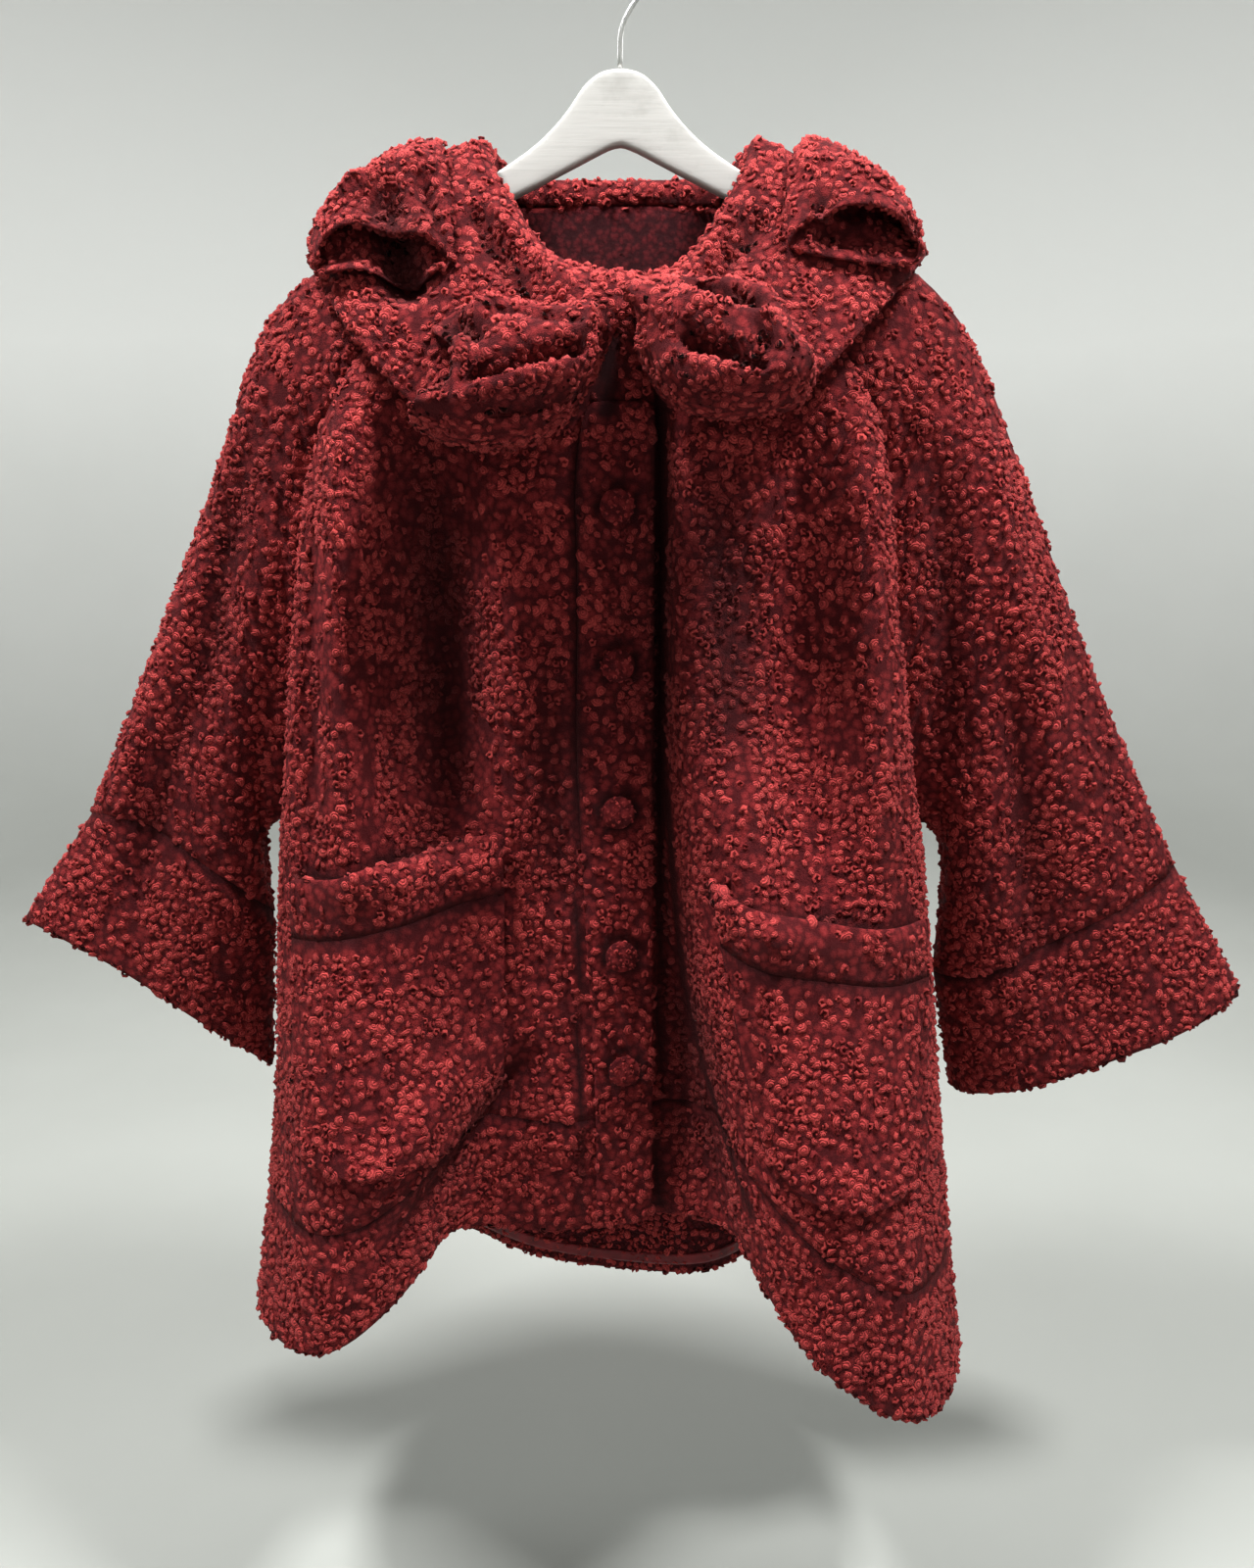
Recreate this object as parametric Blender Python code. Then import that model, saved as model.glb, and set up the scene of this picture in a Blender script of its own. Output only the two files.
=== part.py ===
"""A wide wool coat with a gathered collar, on its wooden hanger.

The origin is the inner top of the hanger's hook. X runs to the viewer's right, Y away from the
viewer and Z up, in metres. Right and left in names are the wearer's, so the right front is on the
viewer's left. Every cloth piece is a wall of woollen cloth made from one grid of points, and pieces
that are sewn together share the points of their seam, less a hair's gap.
"""

import math

import bmesh
import bpy
import numpy as np
from mathutils import Matrix, Vector
from mathutils.bvhtree import BVHTree

CM = 0.01

CLOTH = 0.004  # the loops of the wool make it this thick
SATIN = 0.0012
SEAM_GAP = 0.0003
LAID_ON = CLOTH + SEAM_GAP  # middle of one layer to middle of the next

COLORS = {
    "wool": (0.26, 0.022, 0.035, 1.0),
    "satin": (0.30, 0.012, 0.022, 1.0),
    "white_paint": (0.86, 0.86, 0.84, 1.0),
    "steel": (0.62, 0.62, 0.62, 1.0),
}
ROUGHNESS = {"wool": 0.95, "satin": 0.35, "white_paint": 0.35, "steel": 0.25}

# The hanger: a flat board cut to an outline, and a wire hook
BOARD_THICKNESS = 0.012
BOARD_EDGE_RADIUS = 0.003
ARM_LEAVES = (9.4, -15.2)  # centimetres: where each arm comes out of the middle hump
ARM_SLOPE = math.radians(25.5)
ARM_END_X = 21.0
BOARD_TOP = -0.080
HOOK_WIRE = 0.004
HOOK_RADIUS = 0.020  # of the wire's centre line

# Rows of points down each body panel
ROWS_TO_UNDERARM = 12
ROWS_TO_BAND = 8
ROWS_IN_BAND = 3
UNDERARM = -64.0  # centimetres
HEM_BAND = 10.0
HEIGHTS = (-32.0, -45.0, -58.0, -70.0, -85.0)  # of the sections between neck and hem

# Plan sections of the right front, in centimetres: x and y of each station at each height. Its
# stations are the edge, the chest, the fold's root, rise and crest, and the flank
RIGHT_COLUMNS = (4, 2, 2, 3, 3, 2)  # columns of faces from each station to the next
RIGHT_NECK = ((2.5, -5.2, -24.5), (-2.6, -5.3, -24.2), (-4.8, -4.7, -23.0),
              (-6.6, -4.0, -20.6), (-8.0, -3.2, -18.6), (-8.8, -2.6, -17.4))
RIGHT_SECTIONS = (
    # edge        chest         root            rise            crest           flank
    ((2.5, -4.9), (-8.0, -5.8), (-12.0, -5.2), (-15.0, -6.2), (-17.8, -7.6), (-20.8, -5.6)),
    ((2.5, -4.8), (-8.6, -5.8), (-13.4, -3.8), (-16.4, -6.2), (-19.6, -8.8), (-23.2, -6.4)),
    ((2.5, -4.7), (-9.0, -5.8), (-13.8, -3.9), (-17.0, -6.8), (-20.3, -9.5), (-24.8, -6.6)),
    ((2.5, -4.7), (-8.0, -6.0), (-12.4, -6.4), (-16.2, -9.6), (-20.4, -11.3), (-26.0, -6.2)),
    ((2.5, -4.6), (-6.6, -5.6), (-10.4, -6.0), (-13.4, -10.6), (-19.6, -13.9), (-26.8, -8.0)),
)
RIGHT_HEM = ((2.5, -4.5, -95.6), (-6.6, -5.4, -96.5), (-13.9, -5.8, -95.6),
             (-15.8, -10.4, -97.2), (-22.4, -15.2, -101.0), (-29.3, -8.6, -101.0))

# The left front passes behind the placket, and then rolls forward in one big fold. Its stations
# are the edge, the recess, the roll, the lip, the crest, the valley, the ridge and the flank
LEFT_COLUMNS = (1, 2, 2, 2, 3, 3, 2, 2)
LEFT_NECK = ((-1.5, -4.0, -24.5), (0.6, -4.1, -24.5), (2.4, -4.4, -24.4), (3.6, -4.5, -24.0),
             (5.0, -4.5, -22.8), (6.4, -4.0, -21.0), (7.7, -3.2, -18.9), (8.5, -2.6, -17.5))
LEFT_SECTIONS = (
    # edge, recess, roll, lip
    # crest, valley, ridge, flank
    ((-1.5, -4.0), (2.0, -3.8), (3.5, -4.8), (3.9, -6.2),
     (6.4, -7.8), (11.8, -6.2), (15.2, -7.0), (18.0, -5.6)),
    ((-1.5, -3.8), (2.2, -3.6), (3.6, -5.2), (4.1, -7.4),
     (6.6, -9.2), (12.6, -5.8), (16.8, -8.4), (20.0, -6.4)),
    ((-1.5, -3.7), (2.4, -3.5), (4.2, -5.4), (4.9, -8.6),
     (7.6, -10.8), (13.4, -7.2), (18.0, -9.8), (21.6, -6.8)),
    ((-1.5, -3.6), (3.0, -3.4), (5.2, -5.6), (6.2, -9.6),
     (9.2, -12.8), (14.4, -11.8), (19.4, -11.2), (23.5, -6.2)),
    ((-1.5, -3.5), (4.4, -3.4), (7.2, -5.8), (8.3, -11.0),
     (11.4, -15.2), (16.4, -16.6), (21.4, -13.6), (25.0, -7.2)),
)
LEFT_HEM = ((-1.5, -3.4, -95.6), (5.6, -3.4, -96.0), (9.0, -6.2, -95.6), (10.3, -12.2, -95.6),
            (13.6, -17.2, -98.8), (18.6, -18.8, -102.8), (23.8, -15.6, -105.0), (27.4, -8.6, -105.0))

# The back hangs plainly in soft flares. Its stations are, on each side, the shoulder blade, the
# flare and the dip, with the middle between them
BACK_COLUMNS = (2, 2, 3, 3, 3, 3, 2, 2)
BACK_NECK = ((-6.3, 4.6, -16.2), (-4.9, 4.9, -16.1), (-2.5, 5.1, -16.0), (0.0, 5.2, -16.0),
             (2.5, 5.1, -16.0), (4.9, 4.9, -16.1), (6.2, 4.6, -16.2))
BACK_SECTIONS = (
    ((-18.4, 6.2), (-13.0, 6.6), (-6.4, 5.9), (0.0, 6.3), (6.2, 5.9), (12.4, 6.6), (16.6, 6.2)),
    ((-20.4, 6.4), (-14.2, 7.2), (-7.0, 5.9), (0.2, 6.6), (6.6, 5.8), (13.0, 7.2), (18.2, 6.4)),
    ((-21.8, 6.4), (-14.8, 7.8), (-7.4, 5.8), (0.3, 7.0), (7.0, 5.7), (13.6, 7.8), (19.6, 6.4)),
    ((-23.4, 5.8), (-15.4, 8.4), (-7.8, 5.7), (0.4, 7.3), (7.4, 5.6), (14.2, 8.5), (21.0, 5.8)),
    ((-24.6, 6.0), (-15.8, 9.2), (-8.2, 5.7), (0.5, 7.8), (8.0, 5.6), (14.8, 9.4), (22.4, 6.0)),
)
BACK_HEM = ((-25.8, 6.4, -103.4), (-16.2, 10.2, -105.0), (-8.6, 5.8, -105.6), (0.6, 8.4, -108.9),
            (8.6, 5.6, -107.2), (15.4, 10.6, -106.4), (23.8, 6.4, -105.4))

# Seams, in centimetres: raglan seams from neck to underarm, then the side seam down to the hem
SEAM_HEIGHTS = (-25.0, -32.0, -45.0, -55.0, UNDERARM)
RAGLAN_FRONT_RIGHT = (
    (-9.3, -2.0, -16.6), (-16.2, -4.6), (-21.0, -3.8),
    (-23.4, -3.4), (-24.9, -2.6), (-26.8, 0.0),
)
RAGLAN_BACK_RIGHT = (
    (-7.6, 4.0, -16.3), (-15.4, 5.4), (-20.6, 5.2),
    (-23.0, 4.8), (-24.6, 3.8), (-26.8, 0.0),
)
RAGLAN_FRONT_LEFT = (
    (9.0, -2.0, -16.6), (14.2, -4.6), (18.0, -3.8),
    (19.8, -3.4), (21.4, -2.6), (23.6, 0.0),
)
RAGLAN_BACK_LEFT = (
    (7.4, 4.0, -16.3), (13.8, 5.4), (18.4, 5.2),
    (20.2, 4.8), (21.6, 3.8), (23.6, 0.0),
)
SIDE_RIGHT = ((-26.8, 0.0, UNDERARM), (-27.5, 0.0, -72.0), (-28.2, 0.0, -85.0), (-29.2, 0.2, -101.6))
SIDE_LEFT = ((23.6, 0.0, UNDERARM), (24.4, 0.0, -72.0), (25.5, 0.0, -85.0), (27.2, 0.2, -105.0))

# Sleeves, in centimetres: the top line over the hanger's arm and down the outside, the lower line,
# and the two ends of the flat cuff
ROWS_OVER_ARM = 2
ROWS_DOWN_SLEEVE = 11
CREST_OVER_ARM = 0.84  # the cloth's middle over the board's top edge: its slopes rest on the corners
ROWS_IN_CUFF = 3
TOP_LINE_RIGHT = ((-25.6, 0.2, -22.8), (-29.0, 0.4, -31.6), (-35.2, 0.6, -46.4), (-40.8, 0.8, -59.0))
TOP_LINE_LEFT = ((25.4, 0.2, -23.4), (28.6, 0.4, -30.4), (36.0, 0.6, -47.8), (40.2, 0.8, -57.0))
CUFF_SEAM_RIGHT = ((-42.6, 1.0, -63.0), (-28.9, 1.6, -71.2))
CUFF_SEAM_LEFT = ((45.0, 1.0, -66.6), (26.2, 1.6, -76.2))
CUFF_HEM_RIGHT = ((-49.2, 1.0, -72.0), (-30.0, 2.2, -85.4))
CUFF_HEM_LEFT = ((51.6, 1.0, -77.4), (28.4, 2.2, -87.0))
ARMPIT = (1.3, 0.7, -1.5)  # from the underarm, outward, back and down: where the sleeve turns down
ARMPIT_SPREAD = 1.8  # how far the sleeve stands off the body under the arm
SPREAD_WITHIN = 0.08  # share of the sleeve's length in which it does
CUFF_DEPTH = 4.2
CUFF_SAG_RIGHT = -3.0  # how far the cuff's middle hangs below the line between its ends
CUFF_SAG_LEFT = 1.0
SLEEVE_FOLDS = (
    # centre and half-width round the sleeve, height in centimetres, start and end along it
    (0.13, 0.05, -0.5, 0.20, 1.00),
    (0.24, 0.06, -1.3, 0.15, 1.00),
    (0.36, 0.05, 0.5, 0.20, 0.95),
    (0.62, 0.06, -1.0, 0.10, 0.95),
    (0.74, 0.06, 0.5, 0.25, 1.00),
    (0.86, 0.06, -0.8, 0.20, 1.00),
)

# Placket and buttons
PLACKET_COLUMNS = 2
PLACKET_FIRST_ROW = 2
BUTTON_COLUMN = 1
BUTTON_HEIGHTS = (-0.384, -0.499, -0.610, -0.724, -0.820)
BUTTON_RADIUS = 0.013
BUTTON_HALF_DEPTH = 0.0045

# Patch pockets, in centimetres on the fronts as seen by the viewer: corners, and the band's depth
POCKET_RIGHT = {
    "top": ((-8.6, -62.4), (-24.0, -65.4)),
    "bottom": ((-9.6, -86.0), (-24.0, -86.4)),
    "sag": 0.2,
}
POCKET_LEFT = {
    "top": ((6.6, -64.6), (22.6, -68.6)),
    "bottom": ((11.0, -86.4), (22.2, -88.2)),
    "sag": 1.6,
}
POCKET_CORNER = 4.4
POCKET_BAND = 4.8
POCKET_BAND_ROWS = 2
POCKET_ROWS_BELOW = 3
POCKET_CORNER_ROWS = 4
POCKET_COLUMNS = 8
POCKET_CLEARANCE = 0.0052
POCKET_GAPE = 0.017
GAPE_DEPTH = 0.8  # share of the pocket over which it gapes

# Collar, in centimetres
STAND_PROFILE = ((0.0, 0.0), (-0.25, 0.7), (-0.1, 1.3), (0.5, 1.7))  # outward and up from the neck seam
STAND_CLEARANCE = 0.0008
ROLL_PROFILE = ((1.6, 1.5), (2.6, 0.9))
NEAR_CREST = np.array((1 / 3, 2 / 3))  # places of the extra columns beside the shoulders' crests
COLLAR_ROWS = 4  # rows from the roll to the outer edge
COLLAR_CLEARANCE = 0.0066
COLLAR_ARCH = 0.007  # the fall bows up this much between the roll and its edge
COLLAR_WAVES = (
    # share of the way round the neck, and height
    (0.10, 0.5), (0.18, 0.6), (0.25, 0.6), (0.79, 0.6), (0.85, 0.6), (0.92, 0.5),
)
COLLAR_WAVE_WIDTH = 0.022
COLLAR_EDGE = (
    # share of the way round the neck, and a point near the collar's outer edge
    (0.00, (-2.6, -8.4, -31.4)),
    (0.14, (-9.6, -8.6, -32.6)),
    (0.22, (-14.6, -8.4, -31.2)),
    (0.26, (-18.6, -7.0, -26.6)),
    (0.295, (-21.8, -3.4, -21.8)),
    (0.33, (-22.4, 1.6, -20.6)),
    (0.40, (-19.6, 7.4, -24.6)),
    (0.46, (-10.6, 8.6, -28.8)),
    (0.524, (0.0, 8.8, -29.8)),
    (0.58, (10.2, 8.6, -28.8)),
    (0.64, (18.6, 7.4, -24.6)),
    (0.715, (21.8, 1.6, -20.8)),
    (0.76, (21.0, -3.4, -22.0)),
    (0.80, (16.8, -7.0, -26.4)),
    (0.85, (12.9, -9.0, -30.4)),
    (0.92, (8.6, -10.0, -31.8)),
    (1.00, (2.4, -8.4, -31.0)),
)

# Gathered loops of the collar, in centimetres. Each is an open tube that lies on the collar: a row
# for each ring, from the gathered end to the mouth, with the ring's two ends and its height
PUFF_HALF = 8  # faces over a loop, and as many under it
PUFF_CLOTH = 0.0036
PUFF_FLOOR = 0.25  # the under side hangs this share of the height below the ring's ends
PUFF_FRONT_RIGHT = {
    "over": (0.0, -1.0, 0.0), "pleats": 3, "clearance": 0.0047,
    "rings": (
        ((-1.6, -7.4, -25.2), (-1.4, -7.4, -28.6), 2.2),
        ((-3.6, -7.8, -25.6), (-3.0, -7.8, -32.2), 3.2),
        ((-6.2, -8.0, -25.2), (-5.4, -8.0, -34.2), 4.0),
        ((-8.8, -8.2, -24.8), (-8.2, -8.2, -35.0), 4.4),
        ((-11.0, -8.4, -25.4), (-10.8, -8.2, -35.0), 4.2),
        ((-12.8, -8.4, -26.8), (-13.0, -8.2, -34.2), 3.8),
    ),
}
PUFF_FRONT_LEFT = {
    "over": (0.0, -1.0, 0.0), "pleats": 3, "clearance": 0.0044,
    "rings": (
        ((0.2, -7.6, -24.4), (1.6, -7.6, -28.2), 2.4),
        ((1.4, -8.0, -24.0), (3.2, -8.0, -31.4), 3.4),
        ((3.6, -8.2, -23.6), (5.6, -8.2, -33.4), 4.4),
        ((6.0, -8.4, -23.4), (8.2, -8.4, -33.8), 4.8),
        ((8.2, -8.4, -23.6), (10.8, -8.4, -33.0), 4.6),
        ((9.8, -8.2, -24.4), (12.6, -8.2, -31.0), 4.0),
    ),
}
PUFF_SHOULDER_RIGHT = {
    "over": (-0.30, -0.15, 0.94), "pleats": 3, "clearance": 0.0054,
    "rings": (
        ((-12.4, 2.6, -16.8), (-17.8, 2.6, -20.0), 0.6),
        ((-11.8, 1.0, -16.4), (-19.4, 1.0, -20.4), 0.6),
        ((-11.4, -0.8, -16.6), (-20.8, -0.8, -20.6), 0.8),
        ((-11.2, -3.0, -18.0), (-21.4, -2.6, -20.6), 1.3),
        ((-11.2, -5.2, -20.2), (-21.6, -4.6, -21.6), 2.1),
        ((-11.4, -7.0, -22.0), (-20.8, -6.2, -22.8), 2.8),
    ),
}
PUFF_SHOULDER_LEFT = {
    "over": (0.30, -0.15, 0.94), "pleats": 3, "clearance": 0.0047,
    "rings": (
        ((12.4, 2.6, -16.8), (17.2, 2.6, -19.8), 0.6),
        ((11.8, 1.0, -16.4), (18.8, 1.0, -20.2), 0.7),
        ((11.4, -0.8, -16.6), (20.2, -0.8, -20.2), 1.0),
        ((11.2, -3.0, -17.6), (20.8, -2.6, -20.0), 1.6),
        ((11.2, -5.2, -19.4), (21.0, -4.6, -20.8), 2.4),
        ((11.4, -7.0, -21.0), (20.6, -6.2, -21.8), 3.0),
    ),
}

# Satin edge of the lining, inside the back hem: shares of the last row of faces
LINING_EDGE = (0.30, 0.62)


def start_empty():
    """Remove whatever the file holds, and make the collection for the parts."""
    for old in list(bpy.data.objects):
        bpy.data.objects.remove(old, do_unlink=True)
    coat = bpy.data.collections.new("wool_coat")
    bpy.context.scene.collection.children.link(coat)
    return coat


def paint(obj, kind):
    """Give an object its own plain material."""
    material = bpy.data.materials.new(f"{obj.name}_{kind}")
    material.use_nodes = True
    shader = material.node_tree.nodes["Principled BSDF"]
    shader.inputs["Base Color"].default_value = COLORS[kind]
    shader.inputs["Roughness"].default_value = ROUGHNESS[kind]
    shader.inputs["Metallic"].default_value = 1.0 if kind == "steel" else 0.0
    obj.data.materials.append(material)


def smooth(knots, values, at):
    """Read a smooth curve through the values: cubic pieces, with slopes from the neighbours."""
    knots = np.asarray(knots, float)
    values = np.asarray(values, float)
    at = np.atleast_1d(np.asarray(at, float))
    steps = np.diff(knots)[:, None]
    slopes = np.diff(values, axis=0) / steps
    middle = (slopes[:-1] * steps[1:] + slopes[1:] * steps[:-1]) / (steps[:-1] + steps[1:])
    tangents = np.vstack([slopes[:1], middle, slopes[-1:]])
    piece = np.clip(np.searchsorted(knots, at, side="right") - 1, 0, len(steps) - 1)
    step = steps[piece]
    t = (at - knots[piece])[:, None] / step
    start, end = values[piece], values[piece + 1]
    return (
        (2 * t**3 - 3 * t**2 + 1) * start
        + (t**3 - 2 * t**2 + t) * step * tangents[piece]
        + (3 * t**2 - 2 * t**3) * end
        + (t**3 - t**2) * step * tangents[piece + 1]
    )


def along(points, at):
    """Points on a smooth line through the given ones, at shares of its length."""
    points = np.asarray(points, float)
    lengths = np.linalg.norm(np.diff(points, axis=0), axis=1)
    knots = np.concatenate([[0.0], np.cumsum(lengths)])
    return smooth(knots / knots[-1], points, at)


def across(stations, columns):
    """One row of a panel: a smooth line through its stations, with so many faces between each two."""
    stations = np.asarray(stations, float)
    lengths = np.linalg.norm(np.diff(stations, axis=0), axis=1)
    knots = np.concatenate([[0.0], np.cumsum(lengths)])
    at = [knots[0]]
    for start, end, count in zip(knots[:-1], knots[1:], columns):
        at.extend(start + (end - start) * (step + 1) / count for step in range(count))
    return smooth(knots, stations, at)


def row_heights(top, hem):
    """Heights of all rows of one station, from the neck to the underarm, the band and the hem."""
    band = hem + HEM_BAND
    return np.concatenate([
        np.linspace(top, UNDERARM, ROWS_TO_UNDERARM + 1),
        np.linspace(UNDERARM, band, ROWS_TO_BAND + 1)[1:],
        np.linspace(band, hem, ROWS_IN_BAND + 1)[1:],
    ])


def station_line(neck, plan, hem):
    """The points of one station in every row: neck, the sections between, hem."""
    heights = (neck[2],) + HEIGHTS + (hem[2],)
    places = (neck[:2],) + tuple(plan) + (hem[:2],)
    rows = row_heights(neck[2], hem[2])
    flat = smooth([-height for height in heights], places, -rows)
    return np.column_stack([flat, rows])


def seam_line(raglan, side):
    """The points of a raglan seam and the side seam under it, in every row."""
    top = raglan[0]
    rows = row_heights(top[2], side[-1][2])
    upper = rows[:ROWS_TO_UNDERARM + 1]
    heights = (top[2],) + SEAM_HEIGHTS
    plan = smooth([-height for height in heights], (top[:2],) + tuple(raglan[1:]), -upper)
    below = rows[ROWS_TO_UNDERARM + 1:]
    under = smooth([-point[2] for point in side], [point[:2] for point in side], -below)
    return np.column_stack([np.vstack([plan, under]), rows])


def front_grid(neck, sections, hem, columns, seam):
    """Rows of points of one front, from its free edge to the seam."""
    lines = [
        station_line(neck[k], [section[k] for section in sections], hem[k])
        for k in range(len(neck))
    ]
    lines.append(seam)
    rows = [across([line[r] for line in lines], columns) for r in range(len(seam))]
    return np.array(rows) * CM


def back_grid(seam_right, seam_left):
    """Rows of points of the back, from the right seam to the left one."""
    lines = [seam_right]
    for k in range(len(BACK_NECK)):
        lines.append(station_line(BACK_NECK[k], [section[k] for section in BACK_SECTIONS], BACK_HEM[k]))
    lines.append(seam_left)
    rows = [across([line[r] for line in lines], BACK_COLUMNS) for r in range(len(seam_right))]
    return np.array(rows) * CM


def arm_top(x):
    """Height of the upper edge of the hanger's arm, in centimetres."""
    return ARM_LEAVES[1] - (abs(x) - ARM_LEAVES[0]) * math.tan(ARM_SLOPE)


def half_ring(ends, side, count, sag):
    """Half of a flat oval between two end points, bulging to one side in y."""
    start, end = (np.asarray(point, float) for point in ends)
    turn = np.linspace(0.0, math.pi, count + 1)
    share = (1 - np.cos(turn)) / 2
    ring = start + (end - start) * share[:, None]
    ring[:, 1] += side * CUFF_DEPTH * np.sin(turn)
    ring[:, 2] -= sag * np.sin(turn)
    return ring


def sleeve_grid(seam_front, seam_back, top_line, cuff_seam, cuff_hem, sag, sign):
    """Rings of points of a sleeve and its cuff. A ring runs from the top line down the front."""
    count = ROWS_TO_UNDERARM + 1
    on_arm = [(sign * x, 0.0, arm_top(x) + CREST_OVER_ARM) for x in (9.6, 15.5, ARM_END_X + 0.4)]
    line = np.array(on_arm + list(top_line) + [cuff_seam[0]])
    lengths = np.linalg.norm(np.diff(line, axis=0), axis=1)
    arm_share = lengths[:2].sum() / lengths.sum()
    ways = np.concatenate([
        np.linspace(0, arm_share, ROWS_OVER_ARM + 1),
        np.linspace(arm_share, 1, ROWS_DOWN_SLEEVE - ROWS_OVER_ARM + 1)[1:],
    ])
    top = along(line, ways)
    underarm = seam_front[ROWS_TO_UNDERARM]
    armpit = underarm + (sign * ARMPIT[0], ARMPIT[1], ARMPIT[2])
    bottom = along([underarm, armpit, cuff_seam[1]], ways)
    halves = []
    for seam, side in ((seam_front, -1.0), (seam_back, 1.0)):
        start = np.vstack([top[0], seam[:count]])
        end = half_ring(cuff_seam, side, count, sag)
        share = (1 - np.cos(np.linspace(0, math.pi, count + 1))) / 2
        near_top, near_bottom = ((1 - share) ** 3.5)[:, None], (share**1.5)[:, None]
        rings = []
        for row, w in enumerate(ways):
            top_bend = top[row] - (1 - w) * top[0] - w * top[-1]
            bottom_bend = bottom[row] - (1 - w) * bottom[0] - w * bottom[-1]
            ring = (1 - w) * start + w * end + near_top * top_bend + near_bottom * bottom_bend
            spread = (1 - w) * (1 - math.exp(-w / SPREAD_WITHIN))
            ring[:, 0] += sign * ARMPIT_SPREAD * spread * np.clip((share - 0.3) / 0.5, 0, 1)
            ring[:, 1] += side * 1.4 * math.sin(math.pi * w) * np.sin(math.pi * share) ** 2
            rings.append(ring)
        for w in np.linspace(0, 1, ROWS_IN_CUFF + 1)[1:]:
            hem_ring = half_ring(cuff_hem, side, count, sag)
            rings.append((1 - w) * end + w * hem_ring)
        halves.append(np.array(rings))
    front, back = halves
    grid = np.concatenate([front, back[:, -2:0:-1]], axis=1)
    return grid * CM


def fold_sleeve(grid, sign):
    """Press the long folds into a sleeve, along its own normals."""
    normals = sheet_normals({"sleeve": (grid, True, sign)})["sleeve"]
    rounds = np.arange(grid.shape[1]) / grid.shape[1]
    shares = np.linspace(0, 1, grid.shape[0])
    shift = np.zeros(grid.shape[:2])
    for centre, half_width, height, start, end in SLEEVE_FOLDS:
        bump = np.exp(-(((rounds - centre) / half_width) ** 2))
        ramp = np.clip((shares - start) / 0.25, 0, 1) * np.clip((end - shares) / 0.2 + 0.5, 0, 1)
        shift += height * CM * ramp[:, None] * bump[None, :]
    shift[0] = 0.0
    return grid + normals * shift[..., None]


def sheet_normals(sheets):
    """Normals at every point, shared where sheets meet. A sheet is (grid, closed ring, sign)."""
    totals = {}
    for grid, ring, sign in sheets.values():
        columns = grid.shape[1] if ring else grid.shape[1] - 1
        for r in range(grid.shape[0] - 1):
            for c in range(columns):
                d = (c + 1) % grid.shape[1]
                corners = (grid[r, c], grid[r, d], grid[r + 1, d], grid[r + 1, c])
                face = sign * np.cross(corners[1] - corners[3], corners[2] - corners[0])
                for corner in corners:
                    key = tuple(np.round(corner * 1e5).astype(int))
                    totals[key] = totals.get(key, 0.0) + face
    result = {}
    for name, (grid, _, _) in sheets.items():
        found = np.zeros_like(grid)
        for r in range(grid.shape[0]):
            for c in range(grid.shape[1]):
                total = totals[tuple(np.round(grid[r, c] * 1e5).astype(int))]
                found[r, c] = total / np.linalg.norm(total)
        result[name] = found
    return result


def trimmed(grid, edges):
    """Draw the named edges of a grid in by half a seam gap, square to the seam."""
    sides = {"top": (0, 1), "bottom": (-1, -2), "start": (0, 1), "end": (-1, -2)}
    moved = grid.copy()
    for edge in edges:
        last, inner = sides[edge]
        if edge in ("top", "bottom"):
            line, step = grid[last], grid[inner] - grid[last]
        else:
            line, step = grid[:, last], grid[:, inner] - grid[:, last]
        way = np.gradient(line, axis=0)
        way /= np.linalg.norm(way, axis=1)[:, None]
        step = step - (step * way).sum(axis=1)[:, None] * way
        shift = step / np.linalg.norm(step, axis=1)[:, None] * SEAM_GAP / 2
        if edge in ("top", "bottom"):
            moved[last] += shift
        else:
            moved[:, last] += shift
    return moved


def wall(coat, name, grid, normals, ring=False, offset=0.0, thickness=CLOTH, kind="wool"):
    """Make a closed wall of cloth on a grid of points."""
    rows, columns = grid.shape[:2]
    mesh = bmesh.new()
    layers = []
    for side in (0.5, -0.5):
        points = grid + normals * (offset + side * thickness)
        layers.append([[mesh.verts.new(points[r, c]) for c in range(columns)] for r in range(rows)])
    outer, inner = layers
    faces_round = columns if ring else columns - 1
    for r in range(rows - 1):
        for c in range(faces_round):
            d = (c + 1) % columns
            mesh.faces.new((outer[r][c], outer[r][d], outer[r + 1][d], outer[r + 1][c]))
            mesh.faces.new((inner[r][c], inner[r + 1][c], inner[r + 1][d], inner[r][d]))
    for r in (0, rows - 1):
        for c in range(faces_round):
            d = (c + 1) % columns
            close_edge(mesh, (outer[r][c], inner[r][c]), (outer[r][d], inner[r][d]))
    if not ring:
        for c in (0, columns - 1):
            for r in range(rows - 1):
                close_edge(mesh, (outer[r][c], inner[r][c]), (outer[r + 1][c], inner[r + 1][c]))
    bmesh.ops.recalc_face_normals(mesh, faces=mesh.faces)
    data = bpy.data.meshes.new(name)
    mesh.to_mesh(data)
    mesh.free()
    piece = bpy.data.objects.new(name, data)
    coat.objects.link(piece)
    paint(piece, kind)
    return piece


def close_edge(mesh, one, other):
    """Close a wall's edge with two triangles, cut alike on both sides of a seam."""
    upper, lower = (one, other) if one[0].co.z >= other[0].co.z else (other, one)
    mesh.faces.new((upper[0], lower[0], lower[1]))
    mesh.faces.new((upper[0], lower[1], upper[1]))


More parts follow.
